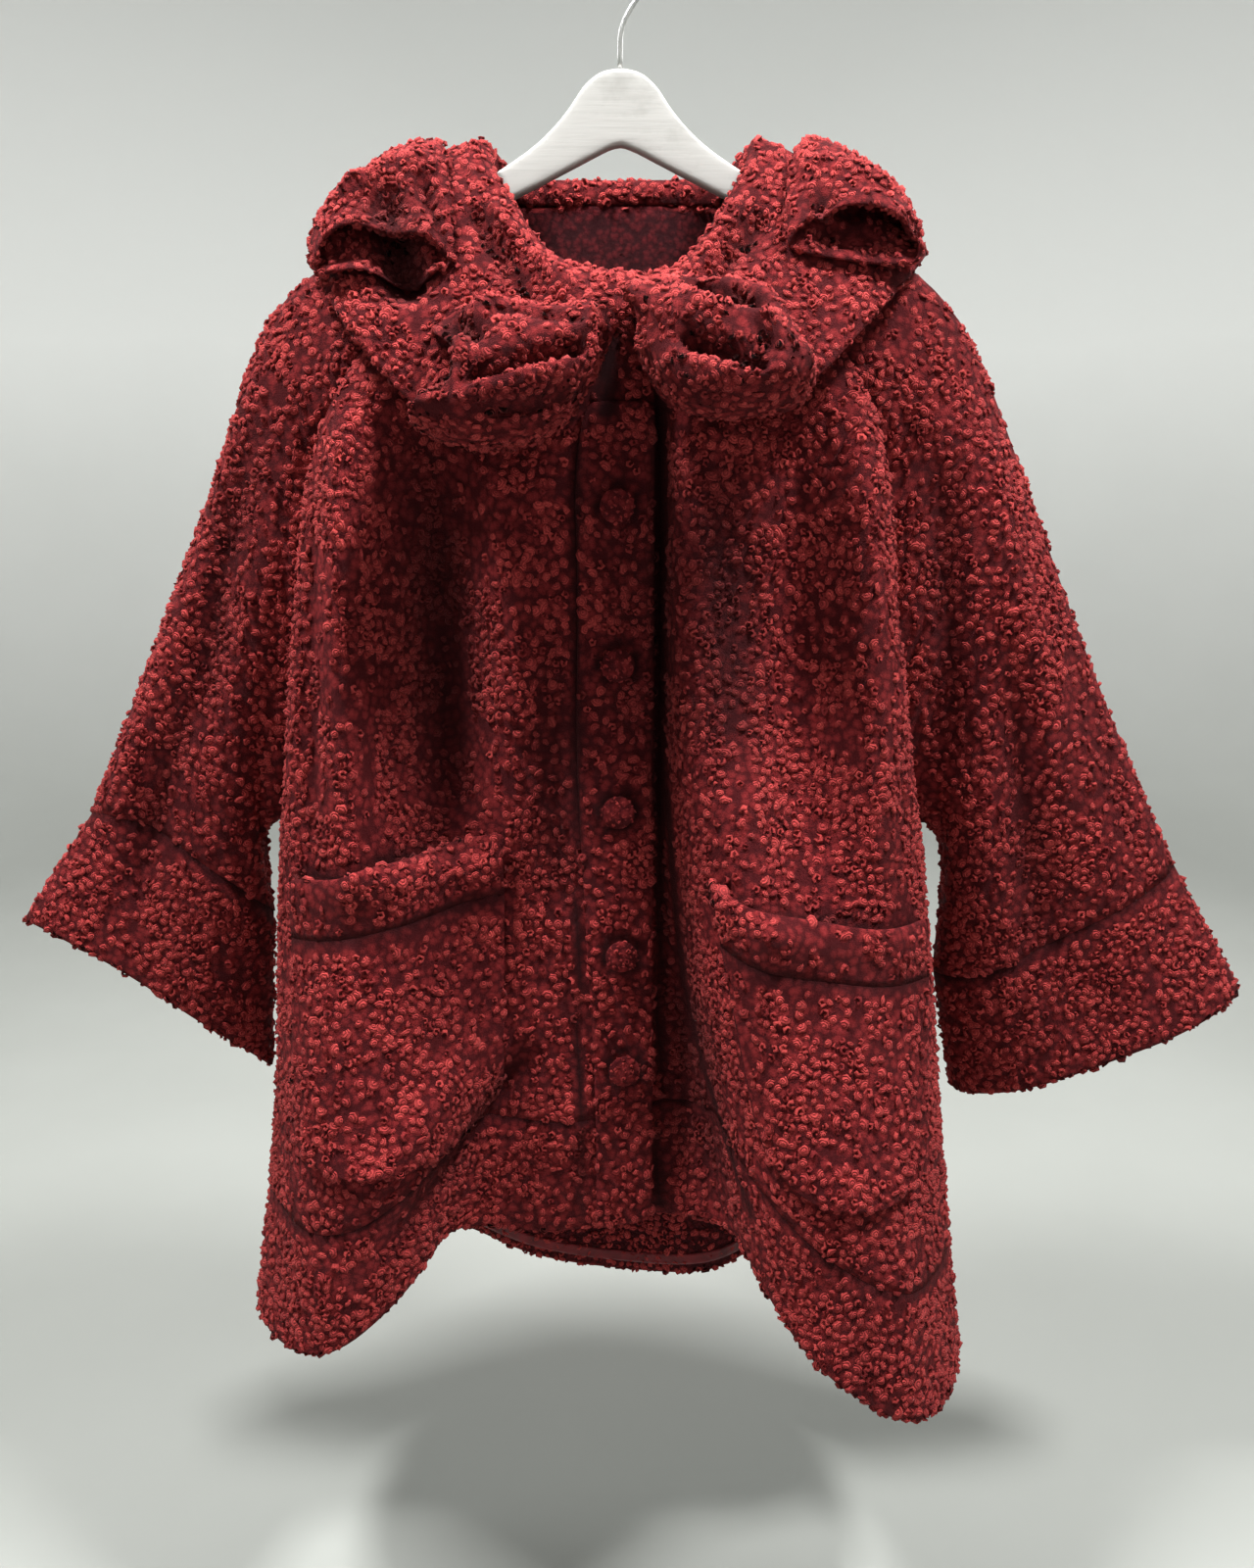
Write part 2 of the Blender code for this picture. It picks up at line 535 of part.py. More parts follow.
def surface_tree(sheets, normals, lift):
    """A search tree of sheets moved out along their normals, its faces facing out."""
    points, faces = [], []
    for name, (grid, ring, sign) in sheets.items():
        first = len(points)
        rows, columns = grid.shape[:2]
        moved = grid + normals[name] * lift
        points.extend(Vector(point) for point in moved.reshape(-1, 3))
        for r in range(rows - 1):
            for c in range(columns if ring else columns - 1):
                d = (c + 1) % columns
                face = [first + r * columns + c, first + r * columns + d,
                        first + (r + 1) * columns + d, first + (r + 1) * columns + c]
                faces.append(face if sign > 0 else face[::-1])
    return BVHTree.FromPolygons(points, faces)


DEEPEST = 0.035  # a point farther in than this belongs to another layer


def cell_weights():
    """Weights of a face's four corners at the places in it that are tested."""
    shares = (0.0, 0.25, 0.5, 0.75)
    inside = [((1 - v) * (1 - u), (1 - v) * u, v * (1 - u), v * u) for v in shares for u in shares]
    one_diagonal = [(1 - t, 0.0, 0.0, t) for t in shares[1:]]
    other_diagonal = [(0.0, 1 - t, t, 0.0) for t in shares[1:]]
    return np.array(inside + one_diagonal + other_diagonal).reshape(-1, 2, 2)


def keep_clear(points, trees, clearance, ring=False, rounds=30):
    """Push points out until they, and the faces between them, are clear of every surface."""
    points = points.copy()
    rows, columns = points.shape[:2]
    patterns = cell_weights()
    for _ in range(rounds):
        push = np.zeros_like(points)
        for r in range(rows):
            down = (r, r + 1) if r + 1 < rows else (r,)
            for c in range(columns):
                over = (c, (c + 1) % columns) if ring or c + 1 < columns else (c,)
                cell = np.ix_(down, over)
                for pattern in patterns:
                    weights = pattern[:len(down), :len(over)]
                    if abs(weights.sum() - 1) > 1e-6:
                        continue
                    place = (points[cell] * weights[..., None]).sum(axis=(0, 1))
                    shove = sum(outward_push(tree, place, clearance) for tree in trees)
                    shared = shove * (weights / (weights**2).sum())[..., None]
                    current = push[cell]
                    stronger = np.linalg.norm(shared, axis=2) > np.linalg.norm(current, axis=2)
                    current[stronger] = shared[stronger]
                    push[cell] = current
        points += push
        if np.abs(push).max() < 2e-5:
            break
    return points


def outward_push(tree, point, clearance):
    """The move that brings a point to its clearance from the nearest surface, or none."""
    place, normal, _, distance = tree.find_nearest(Vector(point))
    height = (Vector(point) - place).dot(normal)
    beyond_an_edge = distance >= clearance and height > -distance / 2
    if beyond_an_edge or distance > DEEPEST:
        return np.zeros(3)
    return np.array(normal * max(clearance - height, 0.0))


def build_hanger(coat):
    """The board: its outline is worked out from the arm's line, and its edges are rounded."""
    slope = math.tan(ARM_SLOPE)
    hump = [(0.0, -8.0), (1.2, -8.15), (2.4, -8.9), (3.5, -10.5), (5.6, -12.7), ARM_LEAVES]
    top_side = along([(x, 0.0, z) for x, z in hump], np.linspace(0, 1, 9))[:, (0, 2)]
    end_top = (ARM_END_X - 0.6, arm_top(ARM_END_X - 0.6))
    end = [end_top, (ARM_END_X, arm_top(ARM_END_X) - 0.45), (ARM_END_X - 0.1, arm_top(ARM_END_X) - 1.2),
           (ARM_END_X - 0.9, arm_top(ARM_END_X) - 1.6)]
    under = [(8.4, -17.0), (4.2, -15.0), (0.9, -13.35), (0.0, -13.1)]
    arm_middle = (15.0, arm_top(15.0))
    under_middle = (15.0, -17.0 - (15.0 - 8.4) * slope)
    right = list(top_side) + [arm_middle] + end + [under_middle] + under
    left = [(-x, z) for x, z in right[-2:0:-1]]
    curve = bpy.data.curves.new("hanger_wood", "CURVE")
    curve.dimensions = "2D"
    curve.fill_mode = "BOTH"
    curve.extrude = BOARD_THICKNESS / 2 - BOARD_EDGE_RADIUS
    curve.bevel_depth = BOARD_EDGE_RADIUS
    curve.bevel_resolution = 1
    curve.offset = -BOARD_EDGE_RADIUS
    line = curve.splines.new("POLY")
    outline = right + left
    line.points.add(len(outline) - 1)
    for point, (x, z) in zip(line.points, outline):
        point.co = (x * CM, z * CM, 0.0, 1.0)
    line.use_cyclic_u = True
    board = bpy.data.objects.new("hanger_wood", curve)
    board.rotation_euler = (math.pi / 2, 0.0, 0.0)
    coat.objects.link(board)
    paint(board, "white_paint")


def build_hook(coat):
    """The wire: a straight stem, then a bend to the right and over the rail."""
    centre = -HOOK_RADIUS + HOOK_WIRE / 2
    stem_bottom = BOARD_TOP + 2 * SEAM_GAP
    stem_top = BOARD_TOP + 0.022
    turn = [math.radians(degrees) for degrees in range(-40, 201, 15)]
    loop = [(HOOK_RADIUS * math.cos(a), 0.0, centre + HOOK_RADIUS * math.sin(a)) for a in turn]
    rise = along([(0, 0, stem_top), (0.0035, 0, stem_top + 0.010), loop[0]], (0.0, 0.25, 0.5, 0.75))
    points = [(0.0, 0.0, stem_bottom)] + [tuple(point) for point in rise] + loop
    curve = bpy.data.curves.new("hanger_hook", "CURVE")
    curve.dimensions = "3D"
    curve.bevel_depth = HOOK_WIRE / 2
    curve.bevel_resolution = 2
    curve.use_fill_caps = True
    line = curve.splines.new("POLY")
    line.points.add(len(points) - 1)
    for point, place in zip(line.points, points):
        point.co = (*place, 1.0)
    hook = bpy.data.objects.new("hanger_hook", curve)
    coat.objects.link(hook)
    paint(hook, "steel")


def build_body(coat):
    """Fronts, back, sleeves, cuffs and hem bands: one sewn skin. Returns its sheets and normals."""
    seams = {
        "front right": seam_line(RAGLAN_FRONT_RIGHT, SIDE_RIGHT),
        "back right": seam_line(RAGLAN_BACK_RIGHT, SIDE_RIGHT),
        "front left": seam_line(RAGLAN_FRONT_LEFT, SIDE_LEFT),
        "back left": seam_line(RAGLAN_BACK_LEFT, SIDE_LEFT),
    }
    right = front_grid(RIGHT_NECK, RIGHT_SECTIONS, RIGHT_HEM, RIGHT_COLUMNS, seams["front right"])
    left = front_grid(LEFT_NECK, LEFT_SECTIONS, LEFT_HEM, LEFT_COLUMNS, seams["front left"])
    back = back_grid(seams["back right"], seams["back left"])
    sheets = {
        "front_right": (right, False, 1),
        "front_left": (left, False, -1),
        "back": (back, False, 1),
    }
    for side, sign, *lines in (
        ("right", -1, TOP_LINE_RIGHT, CUFF_SEAM_RIGHT, CUFF_HEM_RIGHT, CUFF_SAG_RIGHT),
        ("left", 1, TOP_LINE_LEFT, CUFF_SEAM_LEFT, CUFF_HEM_LEFT, CUFF_SAG_LEFT),
    ):
        grid = sleeve_grid(seams["front " + side], seams["back " + side], *lines, sign)
        sheets["sleeve_" + side] = (fold_sleeve(grid, sign), True, sign)
    normals = sheet_normals(sheets)

    band_row = ROWS_TO_UNDERARM + ROWS_TO_BAND
    for name, hem_name, edges in (
        ("front_right", "hem_right", ("end",)),
        ("front_left", "hem_left", ("end",)),
        ("back", "hem_back", ("start", "end")),
    ):
        grid, _, _ = sheets[name]
        cloth = normals[name]
        panel = trimmed(grid[:band_row + 1], edges + ("top", "bottom"))
        wall(coat, name, panel, cloth[:band_row + 1])
        wall(coat, hem_name, trimmed(grid[band_row:], edges + ("top",)), cloth[band_row:])
    for side in ("right", "left"):
        grid, _, _ = sheets["sleeve_" + side]
        cloth = normals["sleeve_" + side]
        cuff = ROWS_DOWN_SLEEVE
        sleeve = trimmed(grid[:cuff + 1], ("top", "bottom"))
        wall(coat, "sleeve_" + side, sleeve, cloth[:cuff + 1], ring=True)
        wall(coat, "cuff_" + side, trimmed(grid[cuff:], ("top",)), cloth[cuff:], ring=True)
    return sheets, normals


def build_placket(coat, sheets, normals):
    """The button strip, from the right front's own points, and the buttons on it."""
    grid = sheets["front_right"][0][PLACKET_FIRST_ROW:, :PLACKET_COLUMNS + 1]
    cloth = normals["front_right"][PLACKET_FIRST_ROW:, :PLACKET_COLUMNS + 1]
    wall(coat, "placket", grid, cloth, offset=LAID_ON)
    middle = sheets["front_right"][0][:, BUTTON_COLUMN]
    facing = normals["front_right"][:, BUTTON_COLUMN]
    for number, height in enumerate(BUTTON_HEIGHTS, start=1):
        place = smooth(-middle[:, 2], middle, -height)[0]
        normal = smooth(-middle[:, 2], facing, -height)[0]
        normal /= np.linalg.norm(normal)
        lift = LAID_ON + CLOTH / 2 + SEAM_GAP + BUTTON_HALF_DEPTH
        build_button(coat, f"button_{number}", place + normal * lift, normal)


def build_button(coat, name, place, normal):
    """A cloth-covered button: a flattened ball."""
    mesh = bmesh.new()
    bmesh.ops.create_uvsphere(mesh, u_segments=14, v_segments=7, radius=1.0)
    size = Matrix.Diagonal((BUTTON_RADIUS, BUTTON_RADIUS, BUTTON_HALF_DEPTH, 1.0))
    bmesh.ops.transform(mesh, matrix=size, verts=mesh.verts)
    data = bpy.data.meshes.new(name)
    mesh.to_mesh(data)
    mesh.free()
    button = bpy.data.objects.new(name, data)
    button.location = place
    button.rotation_mode = "QUATERNION"
    button.rotation_quaternion = Vector(normal).to_track_quat("Z", "Y")
    coat.objects.link(button)
    paint(button, "wool")


def pocket_plan(corners):
    """Places of a pocket's points as the viewer sees them, its lower corners rounded."""
    inner_top, outer_top = (np.array(point) for point in corners["top"])
    inner_bottom, outer_bottom = (np.array(point) for point in corners["bottom"])
    height = np.linalg.norm(inner_top - inner_bottom)
    turn = np.linspace(0, math.pi / 2, POCKET_CORNER_ROWS + 1)
    depths = np.concatenate([
        np.linspace(0, POCKET_BAND, POCKET_BAND_ROWS + 1),
        np.linspace(POCKET_BAND, height - POCKET_CORNER, POCKET_ROWS_BELOW + 1)[1:],
        height - POCKET_CORNER * (1 - np.sin(turn[1:])),
    ])
    insets = np.zeros(len(depths))
    insets[-POCKET_CORNER_ROWS:] = POCKET_CORNER * 0.92 * (1 - np.cos(turn[1:]))
    shares = np.linspace(0, 1, POCKET_COLUMNS + 1)
    rows = []
    for depth, inset in zip(depths, insets):
        down = depth / height
        inner = inner_top * (1 - down) + inner_bottom * down
        outer = outer_top * (1 - down) + outer_bottom * down
        inset /= np.linalg.norm(outer - inner)
        places = inner + (outer - inner) * (inset + (1 - 2 * inset) * shares)[:, None]
        places[:, 1] -= corners["sag"] * (1 - down) ** 2 * np.sin(math.pi * shares**0.7)
        rows.append(places)
    return np.array(rows) * CM, depths / height


def build_pocket(coat, side, corners, tree, sign):
    """A patch pocket and its top band, laid on the front and gaping a little at the top."""
    plan, down = pocket_plan(corners)
    grid = np.zeros(plan.shape[:2] + (3,))
    for r in range(plan.shape[0]):
        for c in range(plan.shape[1]):
            start = Vector((plan[r, c, 0], -0.6, plan[r, c, 1]))
            place, _, _, _ = tree.ray_cast(start, Vector((0.0, 1.0, 0.0)))
            grid[r, c] = place
    normals = sheet_normals({"pocket": (grid, False, sign)})["pocket"]
    middle = np.sin(math.pi * np.linspace(0, 1, POCKET_COLUMNS + 1)) ** 1.5
    gape = POCKET_GAPE * np.clip(1 - down / GAPE_DEPTH, 0, 1)[:, None] ** 1.5 * middle[None, :]
    grid = grid + normals * (POCKET_CLEARANCE + gape)[..., None]
    grid = keep_clear(grid, [tree], POCKET_CLEARANCE)
    normals = sheet_normals({"pocket": (grid, False, sign)})["pocket"]
    band = POCKET_BAND_ROWS
    wall(coat, "pocket_band_" + side, trimmed(grid[:band + 1], ("bottom",)), normals[:band + 1])
    wall(coat, "pocket_" + side, trimmed(grid[band:], ("top",)), normals[band:])


def neck_line(rows):
    """One value for each point of the neck, from the right front's button line to the left front."""
    right = rows["front_right"][0, BUTTON_COLUMN:]
    left = rows["front_left"][0, :1:-1]
    back = rows["back"][0]
    pieces = [right]
    for side, before, after in (("right", right[-1], back[0]), ("left", back[-1], left[0])):
        crest = rows["sleeve_" + side][0, 0]
        pieces.append(before + (crest - before) * NEAR_CREST[:, None])
        pieces.append(crest[None, :])
        pieces.append(crest + (after - crest) * NEAR_CREST[:, None])
        if side == "right":
            pieces.append(back)
    return np.concatenate(pieces + [left])


def build_collar(coat, sheets, normals, trees):
    """The stand round the neck, and the collar that falls from it. Returns a search tree of the fall."""
    seam = neck_line({name: grid for name, (grid, _, _) in sheets.items()})
    half_cloth = np.abs(neck_line(normals)[:, 2:]) * CLOTH / 2
    outward = seam * (1.0, 1.0, 0.0)
    outward /= np.linalg.norm(outward, axis=1)[:, None]
    up = np.array((0.0, 0.0, 1.0))
    seam = seam + up * (half_cloth + STAND_CLEARANCE)
    profile = [seam + (outward * out + up * rise) * CM for out, rise in STAND_PROFILE + ROLL_PROFILE]
    lengths = np.linalg.norm(np.diff(seam, axis=0), axis=1)
    way = np.concatenate([[0.0], np.cumsum(lengths)]) / lengths.sum()
    edge = smooth([share for share, _ in COLLAR_EDGE], [place for _, place in COLLAR_EDGE], way) * CM
    swell = np.zeros(len(way))
    for place, height in COLLAR_WAVES:
        swell += height * CM * np.exp(-(((way - place) / COLLAR_WAVE_WIDTH) ** 2))
    fall = [profile[-1]]
    for step in range(1, COLLAR_ROWS + 1):
        share = step / COLLAR_ROWS
        arch = COLLAR_ARCH * math.sin(math.pi * share)
        lift = (arch + swell * share)[:, None]
        fall.append(profile[-1] * (1 - share) + edge * share + outward * lift + up * lift)
    fall = keep_clear(np.array(fall), trees, COLLAR_CLEARANCE)
    grid = np.concatenate([np.array(profile[:-1]), fall])
    cloth = sheet_normals({"collar": (grid, False, 1)})["collar"]
    stand_rows = len(STAND_PROFILE)
    stand = trimmed(grid[:stand_rows], ("top", "bottom"))
    wall(coat, "collar_stand", stand, cloth[:stand_rows])
    wall(coat, "collar", trimmed(grid[stand_rows - 1:], ("top",)), cloth[stand_rows - 1:])
    fall = {"collar": (grid[stand_rows:], False, 1)}
    return surface_tree(fall, {"collar": cloth[stand_rows:]}, 0.0)


def lifted(place, over, trees, clearance):
    """A point moved along a direction until it is clear of what lies beyond it."""
    reach = 0.25
    start = Vector(place) + over * reach
    heights = [0.0]
    for tree in trees:
        hit, _, _, distance = tree.ray_cast(start, -over, reach + 0.05)
        if hit is not None:
            heights.append(reach - distance + clearance)
    return np.array(Vector(place) + over * max(heights))


def build_puff(coat, name, shape, trees, sign):
    """One gathered loop: rings of points, pleated at the closed end and open at the mouth."""
    over = Vector(shape["over"]).normalized()
    half_turn = np.linspace(0, math.pi, PUFF_HALF + 1)
    floor, rises = [], []
    for number, (first, last, height) in enumerate(shape["rings"]):
        gather = 1 - number / (len(shape["rings"]) - 1)
        ripple = 1 + 0.22 * gather * np.cos(shape["pleats"] * 2 * half_turn)
        share = ((1 - np.cos(half_turn)) / 2)[:, None]
        rise = height * CM * np.sin(half_turn) ** 0.8
        chord = (np.array(first) * (1 - share) + np.array(last) * share) * CM
        sunk = chord - np.array(over) * (PUFF_FLOOR * rise)[:, None]
        floor.append([lifted(place, over, trees, shape["clearance"]) for place in sunk])
        rises.append(rise * (ripple + PUFF_FLOOR))
    floor = keep_clear(np.array(floor), trees, shape["clearance"])
    top = floor + np.array(over) * np.array(rises)[..., None]
    top = keep_clear(top, trees, shape["clearance"])
    grid = np.concatenate([top, floor[:, -2:0:-1]], axis=1)
    cloth = sheet_normals({name: (grid, True, sign)})[name]
    wall(coat, name, grid, cloth, ring=True, thickness=PUFF_CLOTH)


def build_lining_edge(coat, sheets, normals):
    """The satin strip inside the back hem."""
    grid = sheets["back"][0]
    cloth = normals["back"]
    places = [grid[-1] * (1 - share) + grid[-2] * share for share in reversed(LINING_EDGE)]
    facing = [cloth[-1] * (1 - share) + cloth[-2] * share for share in reversed(LINING_EDGE)]
    strip = trimmed(np.array(places), ("start", "end"))
    inside = -(CLOTH / 2 + SATIN / 2 + SEAM_GAP)
    facing = np.array(facing)[:, 1:-1]
    wall(coat, "lining_edge", strip[:, 1:-1], facing, offset=inside, thickness=SATIN, kind="satin")


def main():
    coat = start_empty()
    build_hanger(coat)
    build_hook(coat)
    sheets, normals = build_body(coat)
    build_placket(coat, sheets, normals)
    fronts = {name: sheets[name] for name in ("front_right", "front_left")}
    front_tree = surface_tree(fronts, normals, 0.0)
    build_pocket(coat, "right", POCKET_RIGHT, front_tree, 1)
    build_pocket(coat, "left", POCKET_LEFT, front_tree, -1)
    build_lining_edge(coat, sheets, normals)
    body_tree = surface_tree(sheets, normals, 0.0)
    collar_tree = build_collar(coat, sheets, normals, [body_tree])
    under = [body_tree, collar_tree]
    build_puff(coat, "puff_front_right", PUFF_FRONT_RIGHT, under, -1)
    build_puff(coat, "puff_front_left", PUFF_FRONT_LEFT, under, 1)
    build_puff(coat, "puff_shoulder_right", PUFF_SHOULDER_RIGHT, under, -1)
    build_puff(coat, "puff_shoulder_left", PUFF_SHOULDER_LEFT, under, 1)


main()
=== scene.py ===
# %% [markdown]
# A red wool coat on a white wooden hanger, finished for rendering.
# The frame holds the coat as plain walls of cloth, one solid for each sewn piece. This lesson
# turns each wall into soft wool: a finer copy of it, creases placed one by one, and thousands of
# small curls of yarn on top. Everything is in metres, in the frame that the solids already use.

import math

import bmesh
import bpy
import numpy as np
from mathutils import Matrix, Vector
from mathutils.bvhtree import BVHTree


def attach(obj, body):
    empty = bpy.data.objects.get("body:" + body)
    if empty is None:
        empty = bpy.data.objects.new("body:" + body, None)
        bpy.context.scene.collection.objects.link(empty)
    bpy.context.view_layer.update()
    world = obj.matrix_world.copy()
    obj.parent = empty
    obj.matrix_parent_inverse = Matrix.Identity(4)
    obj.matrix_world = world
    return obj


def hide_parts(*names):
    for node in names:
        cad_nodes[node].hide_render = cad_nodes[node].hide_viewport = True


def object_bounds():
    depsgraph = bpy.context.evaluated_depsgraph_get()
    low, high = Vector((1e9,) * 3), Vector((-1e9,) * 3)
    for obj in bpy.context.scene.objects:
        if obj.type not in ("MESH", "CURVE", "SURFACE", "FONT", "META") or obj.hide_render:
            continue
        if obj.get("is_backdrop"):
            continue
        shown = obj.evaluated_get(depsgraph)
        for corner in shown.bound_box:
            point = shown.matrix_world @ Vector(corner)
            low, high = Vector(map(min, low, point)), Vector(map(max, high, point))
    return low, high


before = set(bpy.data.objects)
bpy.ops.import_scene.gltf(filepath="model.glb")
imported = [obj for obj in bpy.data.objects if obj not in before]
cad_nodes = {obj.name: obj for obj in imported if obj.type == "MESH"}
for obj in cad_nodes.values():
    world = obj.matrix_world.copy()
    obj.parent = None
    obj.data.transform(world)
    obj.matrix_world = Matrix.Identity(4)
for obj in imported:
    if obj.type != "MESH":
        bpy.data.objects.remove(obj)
low_before, high_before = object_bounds()
MM = 0.001
print("solids in the frame:", len(cad_nodes))

# %% [markdown]
# The camera stands where the photographer stood: a little less than a metre in front of the
# coat, just above its middle, and tipped down, so that the hems look narrower than the shoulders.

# %% Camera
def new_object(name, data):
    """An object of the scene that shows data."""
    made = bpy.data.objects.new(name, data)
    bpy.context.scene.collection.objects.link(made)
    return made


camera_data = bpy.data.cameras.new("camera")
camera_data.lens = 28.8
camera_data.sensor_width = 36.0
camera = new_object("camera", camera_data)
camera.location = (0.005, -0.98, -0.387)
camera.rotation_euler = (math.radians(77.7), 0.0, 0.0)
bpy.context.scene.camera = camera
bpy.context.scene.view_settings.view_transform = "Standard"  # keeps the red as deep as it is


# %% [markdown]
# Materials are made of nodes. A few small helpers keep the later cells short: they start an empty
# material, add a node and fill in its sockets with a value or a link, and draw the noise, the
# colour ramps and the ranges of numbers that the finishes need.


# %% Helpers for node trees
def add_node(tree, kind, links=None, **settings):
    """Adds a node. links maps an input's name or number to a value or to an output socket."""
    node = tree.nodes.new(kind)
    for key, value in settings.items():
        setattr(node, key, value)
    for key, value in (links or {}).items():
        if isinstance(value, bpy.types.NodeSocket):
            tree.links.new(value, node.inputs[key])
        else:
            node.inputs[key].default_value = value
    return node


def new_material(name):
    """An empty node material, as its tree, its shader and its Object coordinates."""
    material = bpy.data.materials.new(name)
    material.use_nodes = True
    tree = material.node_tree
    tree.nodes.clear()
    shader = add_node(tree, "ShaderNodeBsdfPrincipled")
    output = add_node(tree, "ShaderNodeOutputMaterial")
    tree.links.new(shader.outputs["BSDF"], output.inputs["Surface"])
    place = add_node(tree, "ShaderNodeTexCoord").outputs["Object"]
    return material, tree, shader, place


def colour_ramp(tree, factor, stops):
    """A colour ramp over factor. stops are pairs of a position and a colour."""
    ramp = add_node(tree, "ShaderNodeValToRGB", {"Fac": factor})
    points = ramp.color_ramp.elements
    while len(points) < len(stops):
        points.new(0.5)
    for point, (position, colour) in zip(points, stops):
        point.position = position
        point.color = (*colour, 1.0)
    return ramp.outputs["Color"]


def noise(tree, place, scale, detail=2.0, roughness=0.5):
    """Soft noise with scale waves to the metre."""
    node = add_node(
        tree,
        "ShaderNodeTexNoise",
        {"Vector": place, "Scale": scale, "Detail": detail, "Roughness": roughness},
    )
    return node.outputs["Fac"]


def stretched(tree, place, factors):
    """The same place with each axis multiplied, to draw a pattern out in one direction."""
    return add_node(tree, "ShaderNodeMapping", {"Vector": place, "Scale": factors}).outputs[0]


def between(tree, factor, low, high):
    """A number that goes from low to high as factor goes from 0 to 1."""
    node = add_node(
        tree, "ShaderNodeMapRange", {"Value": factor, "To Min": low, "To Max": high}
    )
    return node.outputs["Result"]


def scaled_plus(tree, value, factor, extra):
    """value times factor, plus extra."""
    return add_node(
        tree, "ShaderNodeMath", {0: value, 1: factor, 2: extra}, operation="MULTIPLY_ADD"
    ).outputs[0]


# %% [markdown]
# The studio is a wide floor below the hanging coat. It curves up into a wall all round, so that no
# horizon cuts the picture and the coat can be seen from any side. Its colour is grey on the floor
# and grows pale up the curve, palest on the wall. Two soft lights hang high on the left and on the
# right, as ceiling lamps do in a fitting room: slopes that look up catch their light, and the
# valleys between the folds stay dark. A weak light in front and two large ones behind keep the
# other sides clear.


# %% Floor, sky and lights
FLOOR_Z = -1.30
FLOOR_RADIUS = 2.6
CURVE_RADIUS = 1.0
WALL_TOP = 2.0
ROUND = 96
CURVE_STEPS = 12
PALE_FROM = 0.2  # the wall is palest from this height up
profile = [(FLOOR_RADIUS, FLOOR_Z)]
for step in range(1, CURVE_STEPS + 1):
    angle = math.radians(90 * step / CURVE_STEPS)
    profile.append(
        (
            FLOOR_RADIUS + CURVE_RADIUS * math.sin(angle),
            FLOOR_Z + CURVE_RADIUS * (1.0 - math.cos(angle)),
        )
    )
profile.append((FLOOR_RADIUS + CURVE_RADIUS, WALL_TOP))
bowl = bmesh.new()
centre = bowl.verts.new((0.0, 0.0, FLOOR_Z))
rings = []
around = [2 * math.pi * i / ROUND for i in range(ROUND)]
for radius, height in profile:
    rings.append(
        [bowl.verts.new((radius * math.cos(a), radius * math.sin(a), height)) for a in around]
    )
for i in range(ROUND):
    following = (i + 1) % ROUND
    bowl.faces.new((centre, rings[0][i], rings[0][following]))
    for inner, outer in zip(rings, rings[1:]):
        bowl.faces.new((inner[i], outer[i], outer[following], inner[following]))
for face in bowl.faces:
    face.smooth = True
floor_mesh = bpy.data.meshes.new("floor")
bowl.to_mesh(floor_mesh)
bowl.free()
floor = new_object("floor", floor_mesh)
floor_material, tree, shader, place = new_material("pale floor")
height = add_node(tree, "ShaderNodeSeparateXYZ", {0: place}).outputs["Z"]
rising = add_node(
    tree, "ShaderNodeMapRange", {"Value": height, "From Min": FLOOR_Z, "From Max": PALE_FROM}
)
cloudy = scaled_plus(tree, noise(tree, place, 3.0, 4.0), 0.08, rising.outputs[0])
tree.links.new(
    colour_ramp(tree, cloudy, [(0.03, (0.30, 0.31, 0.29)), (1.03, (0.84, 0.85, 0.83))]),
    shader.inputs["Base Color"],
)
shader.inputs["Roughness"].default_value = 0.9
floor_mesh.materials.append(floor_material)
floor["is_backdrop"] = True

world = bpy.data.worlds.new("studio")
world.use_nodes = True
bpy.context.scene.world = world
sky = world.node_tree.nodes["Background"]
sky.inputs["Color"].default_value = (0.84, 0.86, 0.84, 1.0)
sky.inputs["Strength"].default_value = 0.19


def soft_light(name, place, target, size, power):
    """A square area light at place that faces target."""
    data = bpy.data.lights.new(name, "AREA")
    data.size = size
    data.energy = power
    light = new_object(name, data)
    light.location = place
    light.rotation_euler = (Vector(target) - Vector(place)).to_track_quat("-Z", "Y").to_euler()


soft_light("ceiling left", (-0.80, -0.50, 1.35), (0, -0.1, -0.7), 0.35, 80)
soft_light("ceiling right", (0.90, -0.52, 1.35), (0, -0.1, -0.7), 0.35, 80)
soft_light("front fill", (0.0, -2.4, 1.1), (0, 0, -0.6), 1.2, 2)
soft_light("back left", (-1.3, 1.3, 1.2), (0, 0, -0.5), 1.6, 26)
soft_light("back right", (1.4, 1.4, 1.1), (0, 0, -0.5), 1.6, 26)


# %% [markdown]
# The wool is boucle: a yarn that is spun with loops in it, over a darker, flatter ground. The
# ground is a material only. Cells of noise draw the loops that lie flat, and the same cells drive
# the bump; the red is painted darker toward the gaps between the loops, as painted shade. A slow
# noise makes the dye a little uneven, and sheen gives the pale rim that wool has where light
# grazes it. Where the cloth carries a number for its hollows, written further down, the red is
# painted darker, as shade.

# %% Wool ground, outside and inside
# outside reds, from the loops' own red down to painted shade in the gaps between loops
YARN_BRIGHT = (0.280, 0.024, 0.026)
YARN_MIDDLE = (0.180, 0.014, 0.016)
YARN_GAP_SHADE = (0.060, 0.004, 0.006)
# the red that painted shade reaches in the deepest hollows
PAINTED_SHADE_RED = (0.012, 0.001, 0.002)
LOOP_CELLS = 150.0  # flat loops to the metre
# inside reds: the outside's reds made darker, as painted shade inside the coat, over finer loops
SHADED_INSIDE_BRIGHT = (0.130, 0.010, 0.013)
SHADED_INSIDE_MIDDLE = (0.080, 0.006, 0.009)
SHADED_INSIDE_GAPS = (0.025, 0.002, 0.004)
INSIDE_CELLS = 210.0


